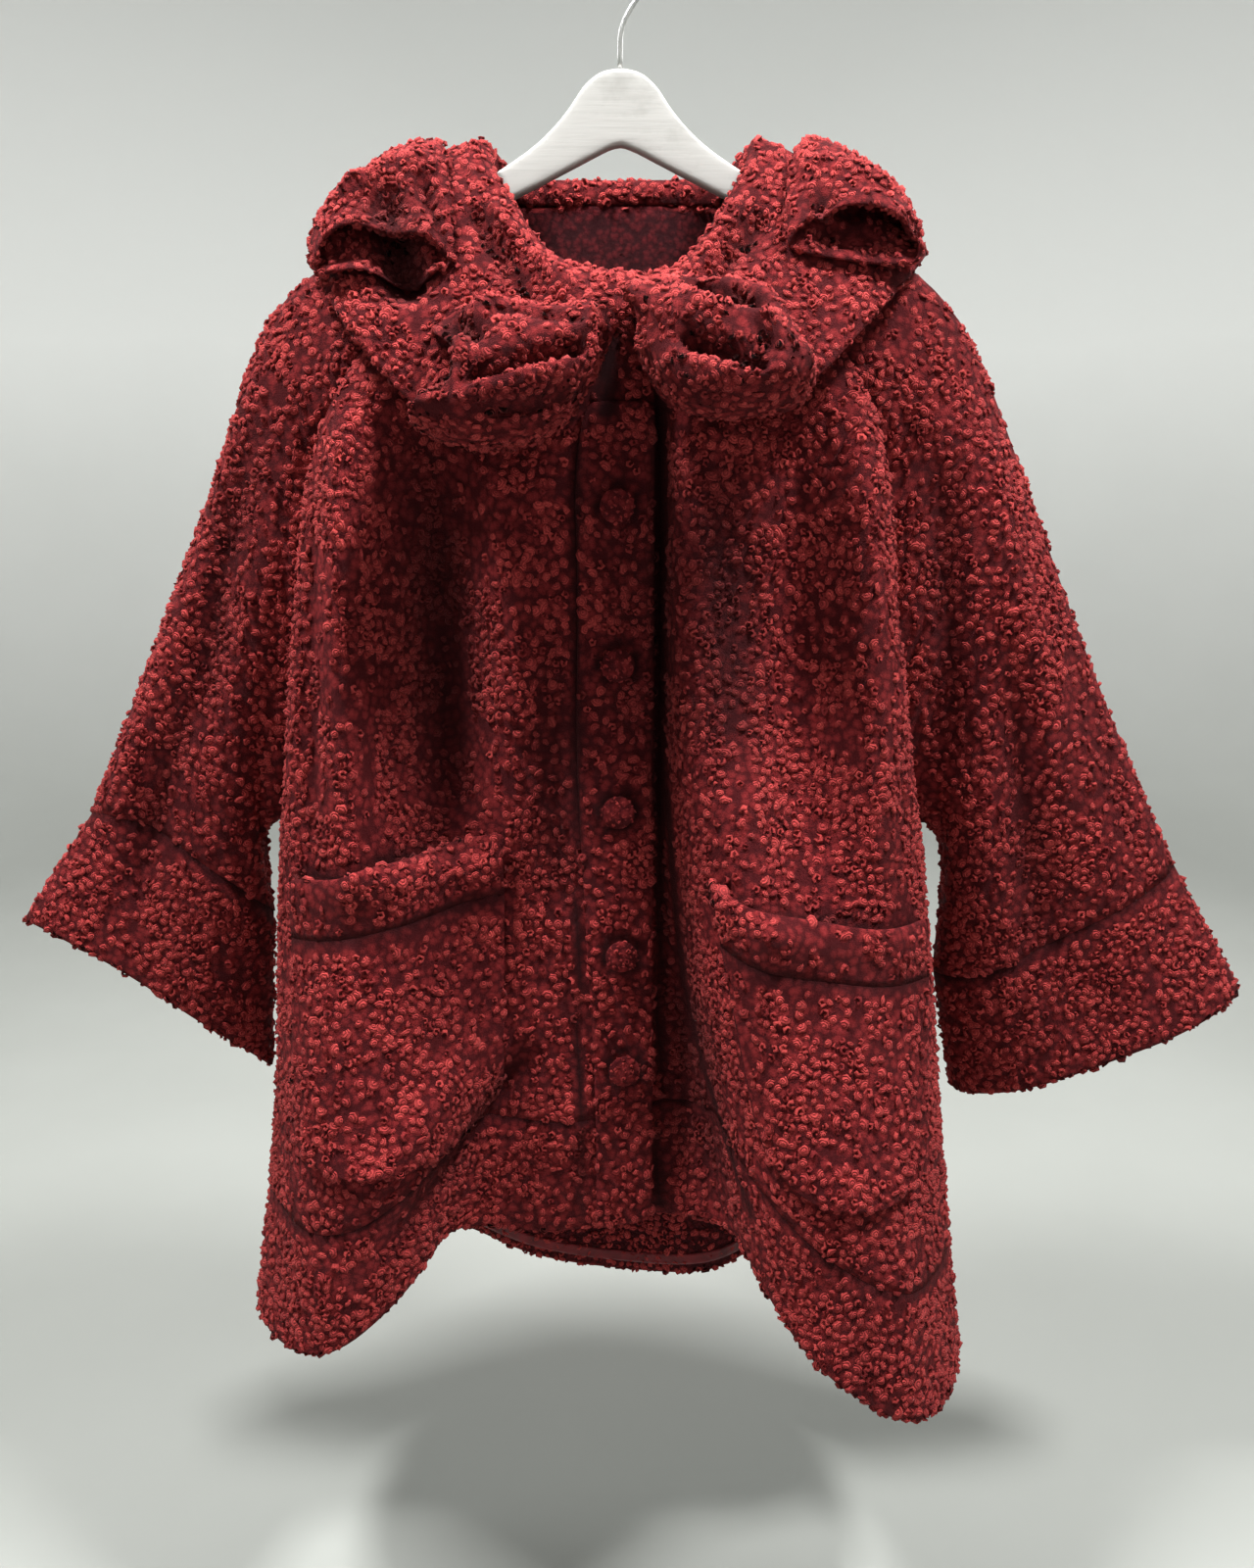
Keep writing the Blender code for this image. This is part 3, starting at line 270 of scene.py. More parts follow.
def paint_shade_in_hollows(tree, colour, shader):
    """Colour goes to the shader, painted darker, as shade, where the cloth's own attribute for its
    hollows is high.
    """
    hollow_shade = add_node(tree, "ShaderNodeAttribute", attribute_name="hollow_shade").outputs["Fac"]
    mix = add_node(tree, "ShaderNodeMix", data_type="RGBA")
    tree.links.new(hollow_shade, mix.inputs[0])
    tree.links.new(colour, mix.inputs[6])
    mix.inputs[7].default_value = (*PAINTED_SHADE_RED, 1.0)
    tree.links.new(mix.outputs[2], shader.inputs["Base Color"])


def wool_ground(name, bright, middle, dark, cells):
    """Wool with flat loops, drawn by cells to the metre, with painted shade in the gaps between
    the loops and in the hollows of the cloth.
    """
    material, tree, shader, place = new_material(name)
    sway = add_node(tree, "ShaderNodeTexNoise", {"Vector": place, "Scale": cells * 0.7})
    bend = add_node(
        tree,
        "ShaderNodeVectorMath",
        {0: sway.outputs["Color"], 1: (0.006, 0.006, 0.006)},
        operation="MULTIPLY",
    )
    bent = add_node(
        tree, "ShaderNodeVectorMath", {0: place, 1: bend.outputs[0]}, operation="ADD"
    ).outputs[0]
    loops = add_node(
        tree, "ShaderNodeTexVoronoi", {"Vector": bent, "Scale": cells}, feature="F1"
    ).outputs["Distance"]
    strands = noise(tree, stretched(tree, bent, (1.0, 1.0, 2.2)), cells * 6, 3.0, 0.65)
    tone = noise(tree, place, 9.0, 3.0)
    # painted shade: the red goes darker toward the gaps between the loops
    shade = add_node(tree, "ShaderNodeMath", {0: strands, 1: loops}, operation="SUBTRACT")
    shifted = scaled_plus(tree, tone, 0.25, shade.outputs[0])
    colours = colour_ramp(tree, shifted, [(0.0, dark), (0.25, middle), (0.60, bright)])
    paint_shade_in_hollows(tree, colours, shader)
    tree.links.new(between(tree, strands, 0.82, 1.0), shader.inputs["Roughness"])
    shader.inputs["Sheen Weight"].default_value = 0.12
    shader.inputs["Sheen Roughness"].default_value = 0.45
    shader.inputs["Sheen Tint"].default_value = (0.80, 0.12, 0.12, 1.0)
    shader.inputs["Specular IOR Level"].default_value = 0.12
    height = scaled_plus(tree, strands, 0.35, shade.outputs[0])
    bump = add_node(
        tree, "ShaderNodeBump", {"Strength": 0.9, "Distance": 0.0025, "Height": height}
    )
    tree.links.new(bump.outputs["Normal"], shader.inputs["Normal"])
    return material


wool_outside = wool_ground("wool outside", YARN_BRIGHT, YARN_MIDDLE, YARN_GAP_SHADE, LOOP_CELLS)
shaded_wool_inside = wool_ground(
    "wool inside in painted shade", SHADED_INSIDE_BRIGHT, SHADED_INSIDE_MIDDLE, SHADED_INSIDE_GAPS, INSIDE_CELLS
)

# %% [markdown]
# The curls that stand up from the ground are real geometry, so they need a material of their own.
# Each curl carries a number called tint, and the ramp turns it into one of the reds that the dye
# gives. Rings of a wave, laid by the attribute winding, draw the turns of the yarn round a knot;
# they paint each turn lighter and the grooves between turns darker, as painted light and shade,
# and they shape the bump as well. A fine noise, much smaller than a curl, stands for its hairs.
# Each curl also knows which way the cloth under it faces, and is shaded partly by that direction.
# Painted shade in the hollows of the cloth darkens the curls there too.

# %% Yarn of the curls
HAIRINESS = 0.65  # share of the cloth's own direction in the shading of a loop
YARN_REDS = [
    (0.25, (0.130, 0.010, 0.012)),
    (0.60, (0.265, 0.023, 0.024)),
    (0.95, (0.440, 0.050, 0.046)),
]
yarn, tree, shader, place = new_material("curled yarn")
tint = add_node(tree, "ShaderNodeAttribute", attribute_name="tint").outputs["Fac"]
hairs = noise(tree, place, 1500.0, 2.0, 0.7)
patches = noise(tree, place, 9.0, 3.0)
winding = add_node(tree, "ShaderNodeAttribute", attribute_name="winding").outputs["Vector"]
phase = add_node(tree, "ShaderNodeMath", {0: tint, 1: 12.0}, operation="MULTIPLY")
turns = add_node(
    tree,
    "ShaderNodeTexWave",
    {
        "Vector": winding,
        "Scale": 0.85,
        "Distortion": 3.5,
        "Detail": 1.0,
        "Detail Scale": 1.2,
        "Phase Offset": phase.outputs[0],
    },
    wave_type="RINGS",
    rings_direction="Z",
).outputs["Fac"]
# the rings paint each turn of yarn lighter and the grooves between turns darker, as light and
# shade
wound = scaled_plus(tree, turns, 0.34, -0.17)
strand = add_node(tree, "ShaderNodeMath", {0: wound, 1: hairs}, operation="ADD")
mixed = scaled_plus(tree, tint, 0.30, strand.outputs[0])
uneven = scaled_plus(tree, patches, 0.12, mixed)
# painted shade in the hollows of the cloth darkens the curls as well
paint_shade_in_hollows(tree, colour_ramp(tree, uneven, YARN_REDS), shader)
tree.links.new(between(tree, hairs, 0.75, 1.0), shader.inputs["Roughness"])
shader.inputs["Sheen Weight"].default_value = 0.12
shader.inputs["Sheen Roughness"].default_value = 0.4
shader.inputs["Sheen Tint"].default_value = (0.95, 0.28, 0.28, 1.0)
shader.inputs["Specular IOR Level"].default_value = 0.15
relief = scaled_plus(tree, turns, 1.2, hairs)
fuzz = add_node(tree, "ShaderNodeBump", {"Strength": 0.8, "Distance": 0.0009, "Height": relief})
# Loose hairs round a loop catch light as the cloth under them does, not as a hard bead would.
own_way = add_node(tree, "ShaderNodeNewGeometry").outputs["Normal"]
cloth_way = add_node(tree, "ShaderNodeAttribute", attribute_name="cloth_way").outputs["Vector"]
hairy = add_node(tree, "ShaderNodeMix", data_type="VECTOR")
hairy.inputs[0].default_value = HAIRINESS
tree.links.new(own_way, hairy.inputs[4])
tree.links.new(cloth_way, hairy.inputs[5])
even_way = add_node(
    tree, "ShaderNodeVectorMath", {0: hairy.outputs[1]}, operation="NORMALIZE"
)
tree.links.new(even_way.outputs[0], fuzz.inputs["Normal"])
tree.links.new(fuzz.outputs["Normal"], shader.inputs["Normal"])

# %% [markdown]
# Each solid is a coarse wall of cloth. A copy of it has its doubled corners merged and its
# triangles joined to four-sided faces. Faces that are only as wide as the cloth is thick belong
# to the cut edge, and they part the outside of the cloth from its inside. The material slot of a
# face says whether it is outside, inside or sewn to another piece, and keeps saying so when the
# mesh is divided.

# %% From a solid to two sides of cloth
CLOTH = 4.0 * MM
OUTSIDE, INSIDE, SEAM = 0, 1, 2
NARROW = 1.8 * CLOTH
ENDS_AT = math.radians(30)  # the cloth ends where a narrow face bends away by more than this
SEWN_WITHIN = 1.2 * MM  # a cut edge this near another piece is sewn to it
CLOTH_PIECES = [
    name for name in sorted(cad_nodes) if not name.startswith(("button", "hanger", "lining"))
]
GATHERED = ("collar", "puff")  # pieces of the collar, which show both sides of the cloth


def is_edge_face(face):
    return min(edge.calc_length() for edge in face.edges) < NARROW


def parts_sides(edge):
    """Whether the cloth ends at this edge, so that its two faces lie on different sides."""
    if len(edge.link_faces) != 2:
        return True
    bend = edge.calc_face_angle_signed(0)
    return bend > ENDS_AT and any(is_edge_face(f) for f in edge.link_faces)


def side_groups(cloth):
    """Groups of faces that can be walked between without crossing a cut edge."""
    groups, seen = [], set()
    for first in cloth.faces:
        if first in seen:
            continue
        seen.add(first)
        group, waiting = [], [first]
        while waiting:
            face = waiting.pop()
            group.append(face)
            for edge in face.edges:
                if parts_sides(edge):
                    continue
                for other in edge.link_faces:
                    if other not in seen:
                        seen.add(other)
                        waiting.append(other)
        groups.append(group)
    return groups


def faces_outward(group, tube):
    """How much of a group's area looks away from the wearer. For a tube, simply its area."""
    total = 0.0
    for face in group:
        centre = face.calc_center_median()
        away = (centre - Vector((0.0, 0.0, centre.z))).normalized()
        total += face.calc_area() * face.normal.dot(away)
    return sum(f.calc_area() for f in group) if tube else total


corners_of_all, triangles_of_all, piece_of_triangle = [], [], []
for name in CLOTH_PIECES:
    solid = cad_nodes[name].data
    solid.calc_loop_triangles()
    start = len(corners_of_all)
    corners_of_all.extend(vertex.co.copy() for vertex in solid.vertices)
    for triangle in solid.loop_triangles:
        triangles_of_all.append([start + i for i in triangle.vertices])
        piece_of_triangle.append(name)
solids_tree = BVHTree.FromPolygons(corners_of_all, triangles_of_all)


def is_sewn(name, place):
    """Whether another piece of the coat starts right beside this place."""
    near = solids_tree.find_nearest_range(place, SEWN_WITHIN)
    return any(piece_of_triangle[index] != name for _, _, index, _ in near)


def two_sided_copy(name):
    """The solid's mesh with merged corners, four-sided faces, sides marked and edges creased."""
    cloth = bmesh.new()
    cloth.from_mesh(cad_nodes[name].data)
    bmesh.ops.remove_doubles(cloth, verts=cloth.verts, dist=0.01 * MM)
    bmesh.ops.join_triangles(
        cloth,
        faces=cloth.faces,
        angle_face_threshold=math.radians(60),
        angle_shape_threshold=math.radians(70),
    )
    crease = cloth.edges.layers.float.new("crease_edge")
    for edge in cloth.edges:
        edge[crease] = 1.0 if parts_sides(edge) else 0.0
    groups = side_groups(cloth)
    groups.sort(key=lambda group: -sum(f.calc_area() for f in group))
    tube = name.startswith("cuff")
    sheets = sorted(groups[:2], key=lambda group: -faces_outward(group, tube))
    for face in cloth.faces:
        face.material_index = OUTSIDE
        face.smooth = True
    if not name.startswith(GATHERED):
        for face in sheets[1]:
            face.material_index = INSIDE
    for group in groups[2:]:
        for face in group:
            if is_sewn(name, face.calc_center_median()):
                face.material_index = SEAM
    mesh = bpy.data.meshes.new(name + " cloth")
    for material in (wool_outside, shaded_wool_inside, shaded_wool_inside):
        mesh.materials.append(material)
    cloth.to_mesh(mesh)
    cloth.free()
    return mesh


# %% [markdown]
# Subdivision rounds the folds. The first pass keeps the cut edges sharp, so that the cloth keeps
# its thickness. The second pass keeps only the sewn edges and their corners sharp, so that no
# light comes through a seam, and turns each free edge into the soft fold of a turned hem.


# %% Rounding by subdivision
def divided(mesh, levels):
    """The mesh with its faces divided, as many times as levels says."""
    helper = new_object("helper", mesh)
    modifier = helper.modifiers.new("divide", "SUBSURF")
    modifier.levels = modifier.render_levels = levels
    shown = helper.evaluated_get(bpy.context.evaluated_depsgraph_get())
    result = bpy.data.meshes.new_from_object(shown)
    bpy.data.objects.remove(helper)
    return result


CORNER = math.radians(40)  # sewn faces that turn by more than this keep their corner


def rounded(mesh):
    """The mesh divided twice, with its sewn edges kept sharp."""
    fine = divided(mesh, 1)
    edges = bmesh.new()
    edges.from_mesh(fine)
    crease = edges.edges.layers.float["crease_edge"]
    for edge in edges.edges:
        sides = {face.material_index for face in edge.link_faces}
        turns = edge.calc_face_angle(0) > CORNER
        edge[crease] = 1.0 if SEAM in sides and (len(sides) > 1 or turns) else 0.0
    edges.to_mesh(fine)
    edges.free()
    return divided(fine, 1)


# %% [markdown]
# The creases are placed one by one. Each row gives a line down the coat, in millimetres as seen
# from the front or from behind, how wide the fold is and how far it stands out, or in where the
# number is below zero. All pieces move by the same field, so that a pocket stays on its front and
# no seam opens. The field fades out around the ends of each line and between front and back.

# %% Creases
# x and z of the top, x and z of the bottom, half width, height
FRONT_FOLDS = [
    (29, -300, 30, -620, 6, -16),
    (30, -540, 31, -940, 5, -14),
    (40, -640, 48, -950, 13, -12),
    (54, -740, 78, -950, 13, -13),
    (-2, -300, 2, -640, 28, -8),
    (-62, -460, -54, -700, 26, -9),
    (-188, -250, -200, -680, 15, 12),
    (-226, -350, -246, -690, 9, 6),
    (-210, -330, -226, -660, 7, -6),
    (-127, -320, -140, -650, 27, -19),
    (-168, -420, -176, -700, 8, -3.5),
    (-92, -325, -70, -560, 14, 11),
    (-60, -400, -40, -820, 9, -3.5),
    (-62, -795, -186, -940, 11, -15),
    (-92, -778, -215, -900, 17, 9),
    (-208, -700, -236, -1000, 26, 7.5),
    (-262, -760, -262, -1010, 12, -5),
    (-20, -820, -60, -905, 14, 4),
    (54, -340, 80, -590, 26, -17),
    (160, -260, 198, -660, 17, 13),
    (198, -500, 221, -610, 8, 6),
    (212, -520, 206, -640, 6, -5),
    (64, -545, 128, -930, 24, 6),
    (150, -900, 190, -1060, 16, -5),
    (196, -880, 236, -1080, 18, 6),
    (112, -960, 158, -1090, 13, 5),
    (-250, -300, -330, -560, 16, -10),
    (-300, -400, -410, -640, 12, 5),
    (-262, -560, -300, -740, 10, 6),
    (-330, -520, -390, -700, 15, -8),
    (228, -330, 268, -600, 16, -10),
    (262, -320, 356, -620, 14, 6),
    (300, -480, 345, -760, 16, -8),
    (250, -560, 262, -760, 9, 5),
    (330, -440, 430, -690, 12, -4),
]
BACK_FOLDS = [
    (-150, -240, -190, -900, 24, 7.5),
    (-90, -300, -110, -980, 20, -7),
    (-30, -220, -40, -1000, 26, 6),
    (30, -350, 44, -1020, 18, -5),
    (90, -260, 120, -960, 25, 8),
    (160, -330, 200, -900, 17, -6),
    (200, -300, 240, -760, 12, 4.5),
    (-215, -350, -250, -760, 14, -5),
    (-260, -330, -390, -700, 20, 6),
    (-230, -420, -320, -760, 13, -4.5),
    (250, -330, 400, -720, 21, 6),
    (240, -480, 330, -780, 14, -5),
    (-10, -700, -70, -1040, 12, -4),
    (60, -640, 90, -1000, 10, 3),
]


def fold_heights(points, folds):
    """How far each point moves out, from the rows of folds."""
    x, z = points[:, 0] / MM, points[:, 2] / MM
    total = np.zeros(len(points))
    for top_x, top_z, end_x, end_z, width, height in folds:
        along_x, along_z = end_x - top_x, end_z - top_z
        length = math.hypot(along_x, along_z)
        share = ((x - top_x) * along_x + (z - top_z) * along_z) / length**2
        sway = 0.35 * width * np.sin(2.6 * share + 0.01 * top_x)
        across = ((x - top_x) * along_z - (z - top_z) * along_x) / length + sway
        ends = np.clip(1.0 - np.abs(2.0 * share - 1.0) ** 3, 0.0, 1.0)
        total += height * ends * np.exp(-((across / width) ** 2))
    return total * MM


FRONT_OR_BACK = 30 * MM  # over this depth the front's folds give way to the back's


def front_share(points):
    """1 on the front of the coat, 0 on its back, and a number between them at its sides."""
    return np.clip(0.5 - points[:, 1] / FRONT_OR_BACK, 0.0, 1.0)


def creased(points):
    """The points of any piece of the coat, moved by the folds of its front and back."""
    frontness = front_share(points)
    moved = points.copy()
    moved[:, 1] -= frontness * fold_heights(points, FRONT_FOLDS)
    moved[:, 1] += (1.0 - frontness) * fold_heights(points, BACK_FOLDS)
    return moved


# %% [markdown]
# The collar's gathers are deeper and shorter than the folds of the body, so their rows are whole
# points in space, in millimetres: two ends, the half width, and how far the cloth comes out or
# goes in. A short row with a large number below zero is the mouth of a gathered loop. The tops
# of the pockets stand open by rows of the same kind.

# %% Gathers of the collar
GATHERS = [
    ((-124, -106, -256), (-126, -140, -300), 13, -22, "left"),
    ((-104, -142, -288), (-84, -106, -250), 8, 9, "front"),
    ((-124, -140, -304), (-123, -131, -340), 6, 7, "left"),
    ((-30, -130, -284), (-92, -148, -302), 6, -17, "front"),
    ((-30, -134, -296), (-94, -156, -314), 6, 8, "front"),
    ((-116, -112, -262), (-94, -136, -274), 8, -20, "front"),
    ((-24, -126, -308), (-84, -158, -326), 6, -15, "front"),
    ((-28, -122, -264), (-78, -120, -262), 6, -9, "front"),
    ((-70, -150, -292), (-112, -150, -302), 6, 7, "front"),
    ((58, -114, -240), (82, -139, -253), 11, -30, "front"),
    ((44, -138, -258), (96, -150, -268), 6, 8, "front"),
    ((48, -153, -280), (86, -170, -295), 6, -18, "front"),
    ((38, -140, -294), (88, -158, -312), 9, 7, "front"),
    ((100, -153, -272), (109, -158, -312), 5, 9, "front"),
    ((92, -160, -274), (96, -163, -312), 4, -11, "front"),
    ((18, -118, -262), (48, -150, -283), 5, -10, "front"),
    ((18, -117, -292), (62, -159, -318), 6, -9, "front"),
    ((-158, -60, -190), (-148, -64, -226), 17, -25, "front"),
    ((-206, -44, -206), (-184, -49, -169), 9, 7, "front"),
    ((-184, -49, -169), (-137, -41, -148), 9, 7, "front"),
    ((-134, -56, -168), (-121, -70, -214), 6, -12, "front"),
    ((-198, -62, -228), (-150, -72, -232), 7, 6, "front"),
    ((135, -71, -184), (164, -46, -181), 7, -15, "front"),
    ((142, -60, -202), (204, -61, -197), 7, -14, "front"),
    ((140, -62, -192), (190, -55, -189), 4, 8, "front"),
    ((120, -45, -150), (200, -48, -166), 8, 6, "front"),
    ((-98, -50, -190), (-66, -84, -242), 8, -9, "front"),
    ((-84, -48, -186), (-24, -90, -252), 9, 7, "front"),
    ((98, -50, -190), (62, -82, -238), 8, -9, "front"),
    ((80, -44, -184), (24, -88, -250), 9, 7, "front"),
]
POCKET_GAPES = [
    ((-240, -95, -663), (-178, -118, -651), 18, 6, "front"),
    ((-178, -118, -651), (-105, -68, -655), 18, 11, "front"),
    ((70, -118, -668), (109, -140, -685), 18, 11, "front"),
    ((109, -140, -685), (215, -108, -697), 18, 9, "front"),
]
# the way that a row moves the cloth, with left as seen from the front
GOES = {"front": np.array([0.0, -0.86, 0.51]), "left": np.array([-0.96, -0.10, 0.26])}


def away_from(points, start, end, width):
    """How far each point lies from a line in space, in half widths."""
    first, way = np.array(start) * MM, (np.array(end) - np.array(start)) * MM
    share = np.clip((points - first) @ way / (way @ way), 0.0, 1.0)
    return np.linalg.norm(points - first - share[:, None] * way, axis=1) / (width * MM)


def gathered(points, rows):
    """The points of a piece, moved by rows of gathers."""
    moved = points.copy()
    for start, end, width, height, side in rows:
        away = away_from(points, start, end, width)
        moved += (height * MM * np.exp(-(away**2)))[:, None] * GOES[side]
    return moved


def points_of(mesh):
    found = np.empty(len(mesh.vertices) * 3)
    mesh.vertices.foreach_get("co", found)
    return found.reshape(-1, 3)


def set_points(mesh, points):
    mesh.vertices.foreach_set("co", points.ravel())
    mesh.update()


# %% [markdown]
# Little light gets into the valleys of folds, along seams, round buttons and in the mouths of
# gathers and pockets, and few bright loops show there; that shade is painted into the colour. A
# number from 0 to 1, named for the hollows, is written on the points of every sewn piece. It comes
# from the rows of folds and gathers, and from lines laid along the seams, and the materials paint
# the red darker by it, as shade.

# %% Painted shade in hollows
# painted shade along seams and in pocket mouths: x and z of both ends, half width
SEAM_SHADE_LINES = [
    (-31, -300, -34, -958, 3),
    (29, -300, 30, -620, 7),
    (30, -600, 31, -950, 4.5),
    (36, -600, 44, -708, 3),
    (44, -708, 52, -764, 3),
    (52, -764, 67, -825, 3),
    (67, -825, 98, -903, 3),
    (-8, -268, -10, -318, 9),
]
MOUTH_SHADE_LINES = [
    (-238, -653, -178, -641, 5),
    (-178, -641, -108, -646, 6),
    (68, -658, 109, -676, 6),
    (109, -676, 214, -688, 6),
]


def near_lines(points, lines):
    """From 0 to 1, how near each point lies to one of the lines."""
    x, z = points[:, 0] / MM, points[:, 2] / MM
    nearest = np.zeros(len(points))
    for top_x, top_z, end_x, end_z, width in lines:
        along_x, along_z = end_x - top_x, end_z - top_z
        square = along_x**2 + along_z**2
        share = ((x - top_x) * along_x + (z - top_z) * along_z) / square
        share = np.clip(share, 0.0, 1.0)
        away = np.hypot(x - top_x - share * along_x, z - top_z - share * along_z)
        nearest = np.maximum(nearest, np.exp(-((away / width) ** 4)))
    return nearest


# how much shade is painted in folds, gathers and on seams
DEEP_FOLD, DARKEST_FOLD = 22.0, 0.8  # millimetres that count as 1, and the most it gets
DEEP_GATHER, DARKEST_GATHER = 20.0, 0.85
SEAM_SHADE = 0.9
COLLAR_SHARE = 0.5  # how much of the coat's own folds counts on the collar
FRONT_FACE = -10 * MM  # seam lines and rims mark only the cloth in front of this plane
# a ring of painted shadow round each button
RIM_AWAY, RIM_HALF = 1.5 * MM, 3.5 * MM  # the ring round a button: its place and half width
FRONTS = ("front_left", "front_right")
FRONT_EDGES = ("placket", "hem_left", "hem_right")
# the seams of these pieces show as bare lines that carry painted shade
GROOVED = ("cuff", "hem", "pocket", "placket")  # their seams show as bare lines
button_places = []
for name in sorted(cad_nodes):
    if name.startswith("button"):
        button_points = points_of(cad_nodes[name].data)
        low, high = button_points.min(axis=0), button_points.max(axis=0)
        button_places.append(((low + high) / 2, (high[0] - low[0]) / 2))


def fold_hollows(points):
    """From 0 to 1, how deep each point lies in the folds, which sets the shade painted there."""
    frontness = front_share(points)
    heights = frontness * fold_heights(points, FRONT_FOLDS) / MM
    heights += (1.0 - frontness) * fold_heights(points, BACK_FOLDS) / MM
    return np.clip(-heights / DEEP_FOLD, 0.0, DARKEST_FOLD)


def gather_hollows(points, rows):
    """From 0 to 1, how deep each point lies in the gathers, which sets the shade painted there."""
    depth = np.zeros(len(points))
    for start, end, width, height, _ in rows:
        if height < 0:
            away = away_from(points, start, end, width)
            depth = np.maximum(depth, -height * np.exp(-(away**2)) / DEEP_GATHER)
    return np.clip(depth, 0.0, DARKEST_GATHER)


def shadow_round_buttons(points):
    """From 0 to 1, how near each point lies to the rim of a button, where a ring of shadow is
    painted.
    """
    nearest = np.zeros(len(points))
    for middle, radius in button_places:
        away = np.hypot(points[:, 0] - middle[0], points[:, 2] - middle[2])
        ring = np.exp(-(((away - radius - RIM_AWAY) / RIM_HALF) ** 4))
        nearest = np.maximum(nearest, ring)
    return nearest


def note_hollow_shade(name, mesh, flat_points):
    """Write the painted shade of a piece as an attribute: its folds, gathers, seams and mouths."""
    hollow_shade = fold_hollows(flat_points)
    if name.startswith(GATHERED):
        hollow_shade = np.maximum(COLLAR_SHARE * hollow_shade, gather_hollows(flat_points, GATHERS))
    in_front = flat_points[:, 1] < FRONT_FACE
    if name in FRONTS + FRONT_EDGES:
        hollow_shade = np.maximum(hollow_shade, in_front * near_lines(flat_points, SEAM_SHADE_LINES))
        hollow_shade = np.maximum(hollow_shade, in_front * shadow_round_buttons(flat_points))
    if name in FRONTS:
        hollow_shade = np.maximum(hollow_shade, in_front * near_lines(flat_points, MOUTH_SHADE_LINES))
    if name.startswith(GROOVED):
        for face in mesh.polygons:
            if face.material_index == SEAM:
                hollow_shade[list(face.vertices)] = SEAM_SHADE
    mesh.attributes.new("hollow_shade", "FLOAT", "POINT").data.foreach_set("value", hollow_shade)


# %% [markdown]
# With these steps every piece of the coat is made in one loop: the body, sleeves, bands, pockets,
# placket and collar. Only the outside and the cut edges get curls later, and a piece of the collar
# gets them all round, because its gathers show both sides of the cloth.

# %% The cloth of every piece
POCKET_STANDS_OUT = 1.5 * MM  # a patch pocket lies loose on its front, with a shadow below it
cloths = {}
for name in CLOTH_PIECES:
    mesh = rounded(two_sided_copy(name))
    note_hollow_shade(name, mesh, points_of(mesh))
    points = creased(points_of(mesh))
    if name.startswith(GATHERED):
        points = gathered(points, GATHERS)
    if name.startswith("pocket"):
        points = gathered(points, POCKET_GAPES)
        points[:, 1] -= POCKET_STANDS_OUT
    set_points(mesh, points)
    cloths[name] = new_object(name + "_cloth", mesh)
print("faces of cloth:", sum(len(o.data.polygons) for o in cloths.values()))

# %% [markdown]
# A covered button is a metal shell with a disc of the same wool pulled over it. Its solid is a
# small lens, so two rounds of subdivision make it smooth, and the wool on it is drawn tight: the
# curls on it are smaller than those of the coat.

# %% Covered buttons
for name in sorted(cad_nodes):
    if name.startswith("button"):
        mesh = divided(two_sided_copy(name), 2)
        set_points(mesh, creased(points_of(mesh)))
        for index in range(3):
            mesh.materials[index] = wool_outside
        cloths[name] = new_object(name + "_cover", mesh)

# %% [markdown]
# Curls cost many faces, so none is spent where nobody can see it. A ray goes straight out from
# each outer face, and a face that meets other cloth within a few millimetres is left bare: the
# front under a pocket, or a seam pressed against the next piece. The deepest hollows and the faces
# beside a sewn band are left bare too, and show as dark lines, with painted shade on their bare
# ground. The inside of the back hem shows below the fronts, so it gets curls as well.

# %% Where the curls go
CLOSE = 6 * MM
RAY_START = 0.3 * MM
BARE_FROM = 0.86  # a hollow as deep as a seam has no curls
CURLED_SIDES = {"hem_back": (OUTSIDE, INSIDE)}  # every other piece has curls outside only
everything, joined = [], []
for cloth_object in cloths.values():
    start = len(everything)
    everything.extend(vertex.co.copy() for vertex in cloth_object.data.vertices)
    joined.extend([start + i for i in face.vertices] for face in cloth_object.data.polygons)
all_cloth = BVHTree.FromPolygons(everything, joined)
for name, cloth_object in cloths.items():
    mesh = cloth_object.data
    curled_sides = CURLED_SIDES.get(name, (OUTSIDE,))
    hollow_shade = mesh.attributes.get("hollow_shade")
    shows = []
    sewn_corners = {
        i for face in mesh.polygons if face.material_index == SEAM for i in face.vertices
    }
    for face in mesh.polygons:
        seen = face.material_index in curled_sides
        if name.startswith(GROOVED) and sewn_corners.intersection(face.vertices):
            seen = False
        if hollow_shade is not None:
            if max(hollow_shade.data[i].value for i in face.vertices) > BARE_FROM:
                seen = False
        start = face.center + face.normal * RAY_START
        shows.append(seen and all_cloth.ray_cast(start, face.normal, CLOSE)[0] is None)
    mesh.attributes.new("has_curls", "BOOLEAN", "FACE").data.foreach_set("value", shows)


# %% [markdown]
# Boucle shows two things: small round knots, where a loop has closed on itself, and open curls.
# Geometry Nodes make two knots from a ball with few faces, pressed flat, and one curl as a spiral
# swept with a three-sided tube. They are scattered over the marked faces with a least distance
# between them, and turned, tipped and sized by chance. The seed is fixed, so that the coat is
# the same each time. The tree ends by making the copies real, bending each a little with noise
# and giving them the yarn.


# %% The tree that grows curls
def group_input(tree, name, kind, value=None):
    socket = tree.interface.new_socket(
        name=name, in_out="INPUT", socket_type="NodeSocket" + kind
    )
    if value is not None:
        socket.default_value = value
    return socket.identifier


